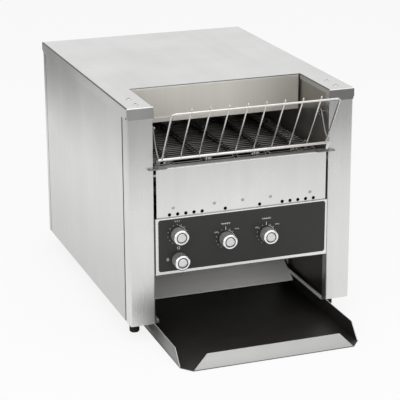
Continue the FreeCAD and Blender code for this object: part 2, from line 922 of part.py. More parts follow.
def shaft_bushings():
    """The flanged bushings of both shafts."""
    bushes = []
    for y, z in axle_places():
        body = rod(V(wall_face - bushing_proud, y, z), V(wall_back, y, z), bushing_radius)
        flange = rod(V(wall_back, y, z), V(wall_back + bushing_flange, y, z), bushing_flange_radius)
        bore = rod(V(wall_face - overrun, y, z), V(wall_back + 2 * overrun, y, z),
                   axle_radius + running_fit)
        bush = cut(fuse(body, flange), bore)
        bushes += [bush, mirrored(bush)]
    return bushes


def chain_sprocket(y, z, teeth, bore):
    """A chain wheel in the right-hand channel."""
    tip = chain_pitch * teeth / (2 * math.pi) - chain_thickness / 2 - tooth_gap
    centre = V(chain_x, y, z)
    disc = toothed_disc(centre, teeth, tip, chain_tooth_height, chain_width, bore)
    side = V(chain_x - chain_width / 2, y, z)
    hub = rod(side - ACROSS * chain_hub_length, side, (tip + bore) / 2)
    hub = cut(hub, rod(side - ACROSS * overrun * 2, side + ACROSS * overrun, bore))
    return fuse(disc, hub)


def loop_face(first, first_radius, second, second_radius):
    """The area inside a tight loop round two circles, seen from the side."""
    run = second - first
    along = V(run).normalize()
    across = ACROSS.cross(along)
    lean = math.asin((first_radius - second_radius) / run.Length)
    high = across * math.cos(lean) + along * math.sin(lean)
    low = across * -math.cos(lean) + along * math.sin(lean)
    a = first + high * first_radius
    b = second + high * second_radius
    c = second + low * second_radius
    d = first + low * first_radius
    edges = [Part.makeLine(a, b), Part.Arc(b, second + along * second_radius, c).toShape(),
             Part.makeLine(c, d), Part.Arc(d, first - along * first_radius, a).toShape()]
    return Part.Face(Part.Wire(edges))


def drive_chain():
    """The chain from the gear motor to the driven shaft, as one closed band."""
    first = V(chain_x - chain_width / 2, rear_axis_y, shaft_z)
    second = V(chain_x - chain_width / 2, motor_y, motor_height)
    half = chain_thickness / 2
    outer = loop_face(first, driven_radius + half, second, motor_sprocket_radius + half)
    inner = loop_face(first, driven_radius - half, second, motor_sprocket_radius - half)
    push = ACROSS * chain_width
    return cut(outer.extrude(push), inner.extrude(push))


def gearbox():
    """The gearbox on the right inner wall, with the bore of its output shaft."""
    half = gearbox_size / 2
    body = box(wall_face - gearbox_width, wall_face, motor_y - half, motor_y + half,
               motor_height - half, motor_height + half)
    far_x = wall_face - gearbox_width
    upright = edges_where(body, lambda p: not near(p.x, wall_face) and not near(p.x, far_x))
    body = body.makeFillet(gearbox_round, upright)
    bore = rod(V(wall_face - output_seat_depth - shaft_end_gap, motor_y, motor_height),
               V(wall_face + overrun, motor_y, motor_height), output_radius + running_fit)
    return cut(body, bore)


def gearbox_shaft():
    """The output shaft of the gearbox, through the inner wall."""
    return rod(V(wall_face - output_seat_depth, motor_y, motor_height),
               V(axle_right_end, motor_y, motor_height), output_radius)


def drive_motor():
    """The motor on the inner side of the gearbox."""
    face = wall_face - gearbox_width
    end = face - motor_length
    can = rod(V(end, motor_y, motor_height), V(face, motor_y, motor_height), motor_radius)
    cap = rod(V(end - motor_cap, motor_y, motor_height), V(end, motor_y, motor_height), motor_cap_radius)
    return fuse(can, cap)


# Cooling fan

def fan_x():
    """The fan's place across the back."""
    return fan_side_place_share * recess_width


def fan_corners():
    """The fan's four fixing points."""
    reach = fan_size / 2 - guard_lug_radius
    return [V(fan_x() + i * reach, cabinet_depth, fan_height + k * reach) for i in (-1, 1) for k in (-1, 1)]


def fan_frame():
    """The square fan housing with the spider that carries the impeller's pin."""
    half = fan_size / 2
    y0 = back_inside - fan_depth
    body = box(fan_x() - half, fan_x() + half, y0, back_inside, fan_height - half, fan_height + half)
    centre = V(fan_x(), y0, fan_height)
    body = cut(body, rod(centre - BACK * overrun, centre + BACK * (fan_depth + overrun), fan_bore_radius))
    hub = rod(centre, centre + BACK * fan_spider, fan_hub_radius)
    reach = fan_bore_radius + sheet
    arms = []
    for i in range(fan_arms):
        arm = box(fan_x(), fan_x() + reach, y0, y0 + fan_spider,
                  fan_height - fan_arm_width / 2, fan_height + fan_arm_width / 2)
        arm.rotate(centre, BACK, 90 + 360 * i / fan_arms)
        arms.append(arm)
    pin = rod(centre, centre + BACK * (fan_depth * fan_pin_length_share), fan_pin_radius)
    tools = [rod(V(c.x, y0 - overrun, c.z), V(c.x, back_inside + overrun, c.z),
                 rivet_shank_radius + screw_hole_gap) for c in fan_corners()]
    return cut(fuse(body, hub, pin, *arms), *tools)


def fan_impeller():
    """The hub and blades that turn on the fan's pin."""
    y0 = back_inside - fan_depth + fan_spider + fan_spider_gap
    y1 = back_inside - fan_spider_gap
    middle = (y0 + y1) / 2
    centre = V(fan_x(), y0, fan_height)
    hub = rod(centre, V(fan_x(), y1, fan_height), fan_hub_radius)
    reach = fan_bore_radius - fan_tip_gap
    span = (y1 - y0) * fan_blade_span_share
    blades = []
    for i in range(fan_blades):
        blade = box(fan_x() - blade_thickness / 2, fan_x() + blade_thickness / 2,
                    middle - span / 2, middle + span / 2, fan_height + fan_hub_radius / 2, fan_height + reach)
        blade.rotate(V(fan_x(), middle, fan_height), UP, blade_angle)
        blade.rotate(V(fan_x(), middle, fan_height), BACK, 360 * i / fan_blades)
        blades.append(blade)
    root = rod(V(fan_x(), y0 - overrun, fan_height), V(fan_x(), y1 + overrun, fan_height),
               fan_hub_radius / 2)
    limit = cut(rod(V(fan_x(), y0, fan_height), V(fan_x(), y1, fan_height), reach), root)
    blades = [blade.common(limit).Solids[0] for blade in blades]
    bore = rod(centre - BACK * overrun, V(fan_x(), y1 + overrun, fan_height), fan_pin_radius + running_fit)
    return cut(fuse(hub, *blades), bore)


def fan_guard():
    """The wire guard over the fan opening: rings welded to spokes that run out to four lugs."""
    centre = V(fan_x(), guard_front, fan_height)
    rings = [Part.makeTorus(fan_bore_radius * share, guard_wire / 2, centre, BACK)
             for share in guard_rings_share]
    disc_radius = fan_bore_radius * guard_rings_share[0]
    half_disc = BACK * (sheet / 2)
    rings.append(rod(centre - half_disc, centre + half_disc, disc_radius))
    behind = BACK * (guard_wire * guard_weld_share)
    spokes = []
    for corner in fan_corners():
        end = V(corner.x, guard_front, corner.z)
        start = centre + (end - centre).normalize() * (disc_radius / 2)
        spokes.append(rod(start - behind, end - behind, guard_wire / 2))
        lug = rod(V(corner.x, cabinet_depth, corner.z), V(corner.x, guard_front + guard_wire / 2, corner.z),
                  guard_lug_radius)
        shank = rod(V(corner.x, back_inside - rivet_length, corner.z), V(corner.x, cabinet_depth, corner.z),
                    rivet_shank_radius)
        spokes += [lug, shank]
    return fuse(rings[0], *rings[1:], *spokes)


def gland_x():
    """The cord gland's place across the back."""
    return gland_side_place_share * recess_width


def cable_gland():
    """The gland for the mains lead: hexagon, rounded nose, body through the panel and inner nut."""
    centre = V(gland_x(), 0, gland_height)
    hexagon = []
    for i in range(gland_flats):
        angle = 2 * math.pi * i / gland_flats
        hexagon.append(V(gland_x() + gland_hex_radius * math.cos(angle), cabinet_depth,
                         gland_height + gland_hex_radius * math.sin(angle)))
    head = prism(hexagon, BACK * gland_hex_depth)
    nose_base = centre + BACK * (cabinet_depth + gland_hex_depth)
    nose = Part.makeCone(gland_body_radius, gland_nose_radius, gland_nose, nose_base, BACK)
    body = rod(centre + BACK * (back_inside - gland_nut_depth), centre + BACK * cabinet_depth,
               gland_body_radius)
    nut = [point - BACK * (sheet + gland_nut_depth) for point in hexagon]
    nut = prism(nut, BACK * gland_nut_depth)
    bore = rod(centre + BACK * (back_inside - 2 * gland_nut_depth),
               centre + BACK * (cabinet_depth + 2 * gland_reach), gland_bore_radius)
    return cut(fuse(head, nose, body, nut), bore)


def terminal_block():
    """The mains terminal block on the floor at the back."""
    x = block_side_place_share * recess_width
    y1 = back_inside - block_rear_gap
    block = box(x - block_length / 2, x + block_length / 2, y1 - block_depth, y1, sheet, sheet + block_height)
    pockets = []
    for i in range(block_ways):
        px = x + block_length * ((i + 0.5) / block_ways - 0.5)
        for py in (y1 - block_depth / 4, y1 - block_depth * 3 / 4):
            top = V(px, py, sheet + block_height)
            pockets.append(rod(top - UP * block_pocket_depth, top + UP * overrun, block_pocket_radius))
    return cut(block, *pockets)


# Controls and knobs

def control_body(name):
    """The body of one rotary control, with its bush through the panel and its tabs."""
    x, z = control_place(name)
    half = control_body_width / 2
    body = box(x - half, x + half, panel_back, panel_back + control_body_depth, z - half, z + half)
    bush = rod(V(x, overlay_face - bush_proud, z), V(x, panel_back + sheet, z), bush_radius)
    tabs = []
    for share in tab_places_share:
        tab_x = x + share * half
        tab_y = panel_back + control_body_depth
        tabs.append(box(tab_x - terminal_tab_width / 2, tab_x + terminal_tab_width / 2,
                        tab_y - sheet, tab_y + terminal_tab_length,
                        z - terminal_tab_thickness / 2, z + terminal_tab_thickness / 2))
    bore = rod(V(x, overlay_face - overrun, z), V(x, panel_back + shaft_seat_depth + shaft_end_gap, z),
               shaft_radius + running_fit)
    return cut(fuse(body, bush, *tabs), bore)


def knob(name):
    """A fluted knob with the control shaft that it turns."""
    x, z = control_place(name)
    grip_front = knob_front + cap_inset
    points = []
    for i in range(2 * knob_flutes):
        angle = math.pi * i / knob_flutes
        radius = knob_radius - (flute_depth if i % 2 else 0)
        points.append(V(x + radius * math.sin(angle), grip_front + knob_rim, z + radius * math.cos(angle)))
    grip = prism(points, BACK * (knob_back - grip_front - knob_rim))
    rim = Part.makeCone(knob_radius - flute_depth - knob_rim / 2, knob_radius - flute_depth, knob_rim,
                        V(x, grip_front, z), BACK)
    shaft_front = knob_back - knob_shaft_grip
    bore = rod(V(x, shaft_front - fixed_fit, z), V(x, knob_back + overrun, z), shaft_radius + fixed_fit)
    pocket = rod(V(x, grip_front - overrun, z), V(x, knob_front + cap_thickness + cap_groove_depth, z),
                 cap_radius() + fixed_fit)
    grip = cut(fuse(grip, rim), bore, pocket)
    shaft = rod(V(x, shaft_front, z), V(x, panel_back + shaft_seat_depth, z), shaft_radius)
    return [grip, shaft]


def cap_radius():
    """The radius of a knob's metal cap."""
    return knob_radius - flute_depth - knob_rim


def knob_cap(name):
    """The turned metal cap: a centre disc, a groove and a bright ring."""
    x, z = control_place(name)
    depth = cap_thickness + cap_groove_depth
    disc = rod(V(x, knob_front, z), V(x, knob_front + depth, z), cap_radius())
    disc = disc.makeFillet(cap_inset / 2, edges_where(disc, lambda p: near(p.y, knob_front)))
    start = V(x, knob_front - overrun, z)
    end = V(x, knob_front + cap_groove_depth, z)
    groove = cut(rod(start, end, cap_groove_outer), rod(start, end, cap_groove_inner))
    return cut(disc, groove)


# Feed rack, tray, feet and fixings

def rounded_rod(points, radius, bend):
    """A round wire along straight runs joined by arcs of one bend radius."""
    edges = []
    last = points[0]
    for i in range(1, len(points) - 1):
        before = (points[i - 1] - points[i]).normalize()
        after = (points[i + 1] - points[i]).normalize()
        half_angle = before.getAngle(after) / 2
        reach = bend / math.tan(half_angle)
        middle = (before + after).normalize()
        start = points[i] + before * reach
        end = points[i] + after * reach
        centre = points[i] + middle * (bend / math.sin(half_angle))
        edges.append(Part.makeLine(last, start))
        edges.append(Part.Arc(start, centre - middle * bend, end).toShape())
        last = end
    edges.append(Part.makeLine(last, points[-1]))
    path = Part.Wire(edges)
    profile = Part.Wire([Part.makeCircle(radius, points[0], points[1] - points[0])])
    return path.makePipeShell([profile], True, True).Solids[0]


def rack_arm():
    """The right end arm: from the lower rod up to a hook over the pin."""
    x = wall_face - sheet - rack_arm_inset
    pin = V(x, rack_pin_y, belt_level + rack_pin_rise)
    over = rack_pin_radius + rack_arm_radius + seat_gap
    points = [V(x, pin.y + over, pin.z - rack_hook_drop), V(x, pin.y + over, pin.z + over),
              V(x, pin.y - over, pin.z + over), V(x, rack_knee_y, belt_level + rack_knee_rise),
              V(x, -rack_foot_reach, rack_foot.z)]
    return rounded_rod(points, rack_arm_radius, over - seat_gap)


def feed_rack():
    """The rack's lower rod, outer frame and arms, welded from round wire, and its two feet."""
    half = half_recess - rack_frame_inset
    reach = ACROSS * (wall_face - sheet - rack_arm_inset)
    parts = [rod(rack_foot - reach, rack_foot + reach, rack_rod_radius)]
    frame = [rack_foot - ACROSS * half, rack_head - ACROSS * half, rack_head + ACROSS * half,
             rack_foot + ACROSS * half]
    parts.append(rounded_rod(frame, rack_frame_radius, rack_corner))
    for piece in (rack_arm(), rack_tab()):
        parts += [piece, mirrored(piece)]
    return fuse(parts[0], *parts[1:])


def rack_tab():
    """The right foot of the rack: a tapered tab from the lower rod down to its rest."""
    x = wall_face - sheet - rack_arm_inset
    lowest = belt_level + sheet + seat_gap
    slab = prism([in_side(rack_foot.y - sheet / 2, rack_foot.z, x - rack_tab_top / 2),
                  in_side(rack_foot.y + sheet / 2, rack_foot.z, x - rack_tab_top / 2),
                  in_side(rack_tab_y + sheet / 2, lowest, x - rack_tab_top / 2),
                  in_side(rack_tab_y - sheet / 2, lowest, x - rack_tab_top / 2)], ACROSS * rack_tab_top)
    front = rack_foot.y - overrun
    taper = prism([V(x - rack_tab_top / 2, front, rack_foot.z), V(x + rack_tab_top / 2, front, rack_foot.z),
                   V(x + rack_tab_bottom / 2, front, lowest), V(x - rack_tab_bottom / 2, front, lowest)],
                  BACK * (rack_tab_y - front + overrun))
    return slab.common(taper).Solids[0]


def rack_wires():
    """The rack's inner wires, which lie on the upper side of its lower rod and top bar."""
    slope = V(rack_head - rack_foot).normalize()
    upper_side = slope.cross(ACROSS)
    start = rack_foot + upper_side * (rack_rod_radius + rack_wire_radius + fixed_fit)
    end = rack_head + upper_side * (rack_frame_radius + rack_wire_radius + fixed_fit)
    wires = []
    for side in (-1, 1):
        for share in rack_wire_places_share:
            x = ACROSS * (side * share * (half_recess - rack_frame_inset))
            wires.append(rod(start + x - slope * rack_rod_radius, end + x + slope * rack_tip,
                             rack_wire_radius))
    return wires


def rack_rest():
    """The right rest plate, on the ledge, with an ear that reaches in front of the column."""
    inner_x = front_panel_half - rack_rest_inset
    z0 = belt_level
    over_ledge = box(inner_x, front_panel_half, -rack_rest_front, rack_rest_back, z0, z0 + sheet)
    ear_radius = (rack_rest_front - seat_gap) / 2
    end = V(half_recess + rack_rest_reach - ear_radius, -seat_gap - ear_radius, z0)
    ear = box(front_panel_half - sheet, end.x, -rack_rest_front, -seat_gap, z0, z0 + sheet)
    tip = rod(end, end + UP * sheet, ear_radius)
    hole = rod(end - UP * overrun, end + UP * overrun, rack_rest_hole_radius)
    return cut(fuse(over_ledge, ear, tip), hole)


def rack_pin():
    """The right pin that the rack's arm hooks over."""
    z = belt_level + rack_pin_rise
    return rod(V(wall_face, rack_pin_y, z), V(wall_face - rack_pin_length, rack_pin_y, z), rack_pin_radius)


def toast_tray():
    """The shallow tray: floor, side walls cut back at the front, a front lip and a low rear lip."""
    x = half_tray
    front = -tray_reach
    lip_x = x - tray_corner
    corner_y = -tray_wall_foot_y
    floor = prism([V(-lip_x, front, floor_z), V(lip_x, front, floor_z), V(x, corner_y, floor_z),
                   V(x, tray_rear_y, floor_z), V(-x, tray_rear_y, floor_z), V(-x, corner_y, floor_z)],
                  UP * sheet)
    walls = []
    for side in (-1, 1):
        start = side * x - (sheet if side > 0 else 0)
        wall = [in_side(corner_y, floor_z, start), in_side(tray_rear_y, floor_z, start),
                in_side(tray_rear_y, tray_wall_top, start), in_side(-tray_wall_end_y, tray_wall_top, start)]
        walls.append(prism(wall, ACROSS * sheet))
    top_x = lip_x - tray_lip_slope
    top_y = front + tray_lip_lean
    top_z = floor_z + tray_lip_height
    lip = prism([V(-lip_x, front, floor_z), V(lip_x, front, floor_z), V(top_x, top_y, top_z),
                 V(-top_x, top_y, top_z)], BACK * sheet)
    rear = box(-x, x, tray_rear_y - sheet, tray_rear_y, floor_z, floor_z + tray_rear_lip)
    return fuse(floor, lip, rear, *walls)


def foot(point):
    """A rubber foot with its stud through the floor."""
    body = rod(point - UP * foot_height, point, foot_radius)
    body = body.makeFillet(foot_round, edges_where(body, lambda p: near(p.z, floor_z)))
    return fuse(body, rod(point - UP * foot_stud_height, point + UP * foot_stud_height, foot_stud_radius))


def screw(point, inward, head_radius, head_height, shank_radius, length):
    """A round-headed fixing whose head lies on the sheet at the point."""
    head = rod(point, point - inward * head_height, head_radius)
    top = point - inward * head_height
    rim = edges_where(head, lambda p: abs((p - top).dot(inward)) < head_height / 4)
    head = head.makeFillet(head_height * screw_round_share, rim)
    return fuse(head, rod(point, point + inward * length, shank_radius))


def case_screws():
    """The screws of the cover and back panel and the rivets of the front panel."""
    shape = (screw_head_radius, screw_head_height, screw_shank_radius, screw_length)
    fixings = [screw(point, -UP, *shape) for point in cover_screw_points()]
    fixings += [screw(point, -BACK, *shape) for point in back_screw_points()]
    rivet = (rivet_head_radius, rivet_head_height, rivet_shank_radius, rivet_length)
    return fixings + [screw(point, BACK, *rivet) for point in rivet_points()]


def main():
    os.makedirs("parts", exist_ok=True)
    save("top_cover", top_cover())
    save("base_pan", base_pan())
    save("back_panel", back_panel())
    save("hood_panel", hood_panel())
    save("front_panel", front_panel())
    column = front_column()
    side = side_panel()
    save("front_column_right", column)
    save("front_column_left", mirrored(column))
    save("side_panel_right", side)
    save("side_panel_left", mirrored(side))
    save("inner_wall_right", inner_wall(1))
    save("inner_wall_left", inner_wall(-1))
    save("control_panel", control_panel())
    save("control_overlay", control_overlay())
    save("control_box", control_box())
    save("toast_ramp", toast_ramp())
    save("rear_deflector", rear_deflector())
    save("heat_shield", heat_shield())
    save("upper_reflector", upper_reflector())
    save("lower_reflector", lower_reflector())
    save("upper_elements", *[element(y, upper_element_z) for y in upper_element_ys()])
    save("lower_elements", *[element(y, lower_element_z) for y in lower_element_ys()])
    save("element_insulators", *element_insulators())
    save("belt_upper_run", straight_run(belt_centre_z))
    save("belt_lower_run", straight_run(shaft_z - belt_radius))
    save("belt_front_bend", belt_bend(front_axis_y, -1))
    save("belt_rear_bend", belt_bend(rear_axis_y, 1))
    left_end = -wall_back - axle_overhang
    save("drive_shaft", rod(V(left_end, rear_axis_y, shaft_z), V(axle_right_end, rear_axis_y, shaft_z),
                            axle_radius))
    save("idler_shaft", rod(V(left_end, front_axis_y, shaft_z), V(-left_end, front_axis_y, shaft_z),
                            axle_radius))
    save("drive_sprockets", *belt_sprockets(rear_axis_y))
    save("idler_sprockets", *belt_sprockets(front_axis_y))
    save("shaft_bushings", *shaft_bushings())
    save("driven_chain_sprocket", chain_sprocket(rear_axis_y, shaft_z, driven_teeth,
                                                 axle_radius + fixed_fit))
    save("motor_chain_sprocket", chain_sprocket(motor_y, motor_height, motor_teeth,
                                                output_radius + fixed_fit))
    save("drive_chain", drive_chain())
    save("gearbox", gearbox())
    save("gearbox_shaft", gearbox_shaft())
    save("drive_motor", drive_motor())
    save("fan_frame", fan_frame())
    save("fan_impeller", fan_impeller())
    save("fan_guard", fan_guard())
    save("cable_gland", cable_gland())
    save("terminal_block", terminal_block())
    bodies = {"speed": "speed_control", "top_heat": "top_heat_control",
              "bottom_heat": "bottom_heat_control", "power": "power_switch"}
    for name, body in bodies.items():
        save(body, control_body(name))
        save(name + "_knob", *knob(name))
        save(name + "_knob_cap", knob_cap(name))
    save("feed_rack", feed_rack())
    save("rack_wires", *rack_wires())
    rest = rack_rest()
    pin = rack_pin()
    save("rack_rests", rest, mirrored(rest), pin, mirrored(pin))
    save("toast_tray", toast_tray())
    save("feet", *[foot(point) for point in foot_points()])
    save("case_screws", *case_screws())


main()
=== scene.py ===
import math

import bmesh
import bpy
from mathutils import Matrix, Vector

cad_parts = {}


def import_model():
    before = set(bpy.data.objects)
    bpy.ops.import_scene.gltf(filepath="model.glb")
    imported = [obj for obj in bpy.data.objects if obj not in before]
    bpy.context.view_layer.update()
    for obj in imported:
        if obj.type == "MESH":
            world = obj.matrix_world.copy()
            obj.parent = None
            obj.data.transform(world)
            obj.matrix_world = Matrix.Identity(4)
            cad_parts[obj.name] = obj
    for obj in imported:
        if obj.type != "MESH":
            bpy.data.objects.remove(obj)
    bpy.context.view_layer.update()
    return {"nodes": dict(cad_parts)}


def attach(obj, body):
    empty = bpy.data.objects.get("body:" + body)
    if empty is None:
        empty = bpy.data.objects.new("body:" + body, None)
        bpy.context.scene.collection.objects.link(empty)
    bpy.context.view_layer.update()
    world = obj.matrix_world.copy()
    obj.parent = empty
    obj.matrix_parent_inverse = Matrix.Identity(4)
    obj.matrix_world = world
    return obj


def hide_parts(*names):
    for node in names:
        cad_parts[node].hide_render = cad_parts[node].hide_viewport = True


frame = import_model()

nodes = frame["nodes"]

# Sizes and places are in millimetres from the cabinet's front plane and underside, as in the part's source.
ACROSS = Vector((1, 0, 0))
BACK = Vector((0, 1, 0))
UP = Vector((0, 0, 1))

# Cabinet
SHEET = 1.2
RUNNING_GAP = 0.3
FRONT_TO_ORIGIN = 186.51474
FOOT_HEIGHT = 25.0
CABINET_DEPTH = 494.0235
CABINET_HEIGHT = 348.0
RECESS = 288.0
HALF_RECESS = RECESS / 2
WALL_FACE = HALF_RECESS + SHEET
OUTLET_TOP = 79.5
CONTROL_HEIGHT = 92.0
CONTROL_TOP = OUTLET_TOP + CONTROL_HEIGHT
BELT_LEVEL = 250.4

# Belt and its shafts
BELT_PITCH = 10.0
SPROCKET_TEETH = 16
RUN_PITCHES = 26
BELT_HALF_STRAND = 1.0
BELT_SIDE_GAP = 12.2
BELT_FRONT_GAP = 14.0
BELT_RADIUS = BELT_PITCH * SPROCKET_TEETH / (2 * math.pi)
HALF_BELT = WALL_FACE - BELT_SIDE_GAP
SHAFT_Z = BELT_LEVEL - BELT_HALF_STRAND - BELT_RADIUS
FRONT_AXIS = BELT_FRONT_GAP + BELT_RADIUS + BELT_HALF_STRAND
REAR_AXIS = FRONT_AXIS + RUN_PITCHES * BELT_PITCH

# Controls: the printed face, the knobs and their places
OVERLAY_FACE = -3.4
KNOB_CLEARANCE = 1.0
KNOB_LENGTH = 20.0
KNOB_BACK = OVERLAY_FACE - KNOB_CLEARANCE
CONTROLS = {
    "speed": (-0.3750 * RECESS, OUTLET_TOP + 0.702 * CONTROL_HEIGHT),
    "top_heat": (-0.1010 * RECESS, OUTLET_TOP + 0.523 * CONTROL_HEIGHT),
    "bottom_heat": (0.1347 * RECESS, OUTLET_TOP + 0.517 * CONTROL_HEIGHT),
    "power": (-0.3698 * RECESS, OUTLET_TOP + 0.259 * CONTROL_HEIGHT),
}


def place(point):
    """A point in millimetres of the cabinet, in metres of the part."""
    return Vector((point[0], point[1] - FRONT_TO_ORIGIN, point[2] + FOOT_HEIGHT)) / 1000


# Materials

def new_material(name):
    mat = bpy.data.materials.new(name)
    mat.use_nodes = True
    tree = mat.node_tree
    shader = tree.nodes["Principled BSDF"]
    coord = tree.nodes.new("ShaderNodeTexCoord")
    return mat, tree, shader, coord.outputs["Object"]


def noise(tree, vector, scale, detail=2.0, rough=0.5):
    """A noise value, stretched by a scale for each axis."""
    mapping = tree.nodes.new("ShaderNodeMapping")
    mapping.inputs["Scale"].default_value = scale
    tree.links.new(vector, mapping.inputs["Vector"])
    texture = tree.nodes.new("ShaderNodeTexNoise")
    texture.inputs["Scale"].default_value = 1.0
    texture.inputs["Detail"].default_value = detail
    texture.inputs["Roughness"].default_value = rough
    tree.links.new(mapping.outputs["Vector"], texture.inputs["Vector"])
    return texture.outputs["Fac"]


def spread(tree, value, low, high, start=0.3, end=0.7):
    """Maps a noise value to a range."""
    node = tree.nodes.new("ShaderNodeMapRange")
    node.inputs["From Min"].default_value = start
    node.inputs["From Max"].default_value = end
    node.inputs["To Min"].default_value = low
    node.inputs["To Max"].default_value = high
    tree.links.new(value, node.inputs["Value"])
    return node.outputs["Result"]


def blend_colours(tree, factor, first, second, mode="MIX"):
    """Mixes two colours, given as colours or as sockets."""
    node = tree.nodes.new("ShaderNodeMix")
    node.data_type = "RGBA"
    node.blend_type = mode
    for key, value in (("A", first), ("B", second)):
        socket = [s for s in node.inputs if s.name == key and s.type == "RGBA"][0]
        if isinstance(value, tuple):
            socket.default_value = (*value, 1.0)
        else:
            tree.links.new(value, socket)
    socket = node.inputs[0]
    if isinstance(factor, float):
        socket.default_value = factor
    else:
        tree.links.new(factor, socket)
    return [s for s in node.outputs if s.type == "RGBA"][0]


def add_bump(tree, shader, height, strength, distance):
    node = tree.nodes.new("ShaderNodeBump")
    node.inputs["Strength"].default_value = strength
    node.inputs["Distance"].default_value = distance
    tree.links.new(height, node.inputs["Height"])
    tree.links.new(node.outputs["Normal"], shader.inputs["Normal"])


def join(tree, operation, first, second):
    node = tree.nodes.new("ShaderNodeMath")
    node.operation = operation
    for socket, value in zip(node.inputs, (first, second)):
        if isinstance(value, float):
            socket.default_value = value
        else:
            tree.links.new(value, socket)
    return node.outputs["Value"]


def shade(colour, factor):
    return tuple(min(1.0, c * factor) for c in colour)


def smooth_step(tree, value, start, end, low, high):
    """Runs smoothly from a low to a high value between two places."""
    node = tree.nodes.new("ShaderNodeMapRange")
    node.interpolation_type = "SMOOTHSTEP"
    node.inputs["From Min"].default_value = start
    node.inputs["From Max"].default_value = end
    node.inputs["To Min"].default_value = low
    node.inputs["To Max"].default_value = high
    tree.links.new(value, node.inputs["Value"])
    return node.outputs["Result"]


def run_along(tree, vector, direction):
    """How far a vector runs along a direction."""
    node = tree.nodes.new("ShaderNodeVectorMath")
    node.operation = "DOT_PRODUCT"
    node.inputs[1].default_value = direction
    tree.links.new(vector, node.inputs[0])
    return node.outputs["Value"]


def face_turn(tree, direction):
    """How far a face looks along a direction."""
    return run_along(tree, tree.nodes.new("ShaderNodeNewGeometry").outputs["Normal"], direction)


def side_turn(tree):
    """How far a face looks to the left or the right."""
    return join(tree, "ABSOLUTE", face_turn(tree, (1.0, 0.0, 0.0)), 0.0)


def darken(tree, share):
    """White that goes to black by a share."""
    return blend_colours(tree, share, (1.0, 1.0, 1.0), (0.0, 0.0, 0.0))


def steel(name, colour, rough, along, contrast=0.06, band=0.05, bump=0.08, smudge=0.05, metal=1.0, painted_shades=()):
    """Brushed sheet with its grain along one axis, faint bands across it and soft handling marks."""
    mat, tree, shader, coord = new_material(name)
    fine = [1500.0, 1500.0, 1500.0]
    wide = [38.0, 38.0, 38.0]
    fine["XYZ".index(along)] = 14.0
    wide["XYZ".index(along)] = 1.6
    grain = noise(tree, coord, fine, 3.0, 0.65)
    bands = noise(tree, coord, wide, 3.0, 0.6)
    marks = noise(tree, coord, (11.0, 11.0, 11.0), 3.0, 0.55)
    base = blend_colours(tree, spread(tree, bands, 0.0, 1.0), shade(colour, 1 - band), shade(colour, 1 + band))
    lines = blend_colours(tree, spread(tree, grain, 0.0, 1.0), (1 - contrast,) * 3, (1.0, 1.0, 1.0))
    base = blend_colours(tree, 1.0, base, lines, "MULTIPLY")
    # Each painted shade darkens the sheet's colour where shade falls or where a dark room would be reflected.
    for painted_layer in painted_shades:
        base = blend_colours(tree, 1.0, base, painted_layer(tree, coord), "MULTIPLY")
    tree.links.new(base, shader.inputs["Base Color"])
    shader.inputs["Metallic"].default_value = metal
    shader.inputs["Anisotropic"].default_value = 0.75
    across_grain = tree.nodes.new("ShaderNodeVectorMath")
    across_grain.operation = "CROSS_PRODUCT"
    grain_axis = {"X": (1.0, 0.02, 0.0), "Y": (0.02, 1.0, 0.0), "Z": (0.02, 0.0, 1.0)}[along]
    across_grain.inputs[1].default_value = grain_axis
    tree.links.new(tree.nodes.new("ShaderNodeNewGeometry").outputs["Normal"], across_grain.inputs[0])
    tree.links.new(across_grain.outputs["Vector"], shader.inputs["Tangent"])
    dull = join(tree, "ADD", spread(tree, grain, rough - 0.05, rough + 0.05),
                spread(tree, marks, -smudge, smudge))
    tree.links.new(dull, shader.inputs["Roughness"])
    add_bump(tree, shader, grain, bump, 0.0002)
    return mat


def wire(name, colour, rough, variation=0.08, metal=1.0):
    """Drawn wire: fine random tone and a slight unevenness."""
    mat, tree, shader, coord = new_material(name)
    tone = noise(tree, coord, (90.0, 90.0, 90.0), 4.0, 0.6)
    fine = noise(tree, coord, (900.0, 900.0, 900.0), 2.0, 0.6)
    base = blend_colours(tree, spread(tree, tone, 0.0, 1.0), shade(colour, 1 - variation),
                         shade(colour, 1 + variation))
    tree.links.new(base, shader.inputs["Base Color"])
    shader.inputs["Metallic"].default_value = metal
    tree.links.new(spread(tree, fine, rough - 0.06, rough + 0.06), shader.inputs["Roughness"])
    add_bump(tree, shader, fine, 0.06, 0.0002)
    return mat


def moulded(name, colour, rough, variation=0.10, grain=700.0, bump=0.15, coat=0.0, shine=0.5):
    """Plastic, rubber or paint with a fine moulded texture."""
    mat, tree, shader, coord = new_material(name)
    tone = noise(tree, coord, (35.0, 35.0, 35.0), 4.0, 0.6)
    fine = noise(tree, coord, (grain, grain, grain), 3.0, 0.6)
    base = blend_colours(tree, spread(tree, tone, 0.0, 1.0), shade(colour, 1 - variation),
                         shade(colour, 1 + variation))
    tree.links.new(base, shader.inputs["Base Color"])
    tree.links.new(spread(tree, fine, rough - 0.05, rough + 0.07), shader.inputs["Roughness"])
    shader.inputs["Specular IOR Level"].default_value = shine
    shader.inputs["Coat Weight"].default_value = coat
    shader.inputs["Coat Roughness"].default_value = 0.2
    add_bump(tree, shader, fine, bump, 0.0002)
    return mat


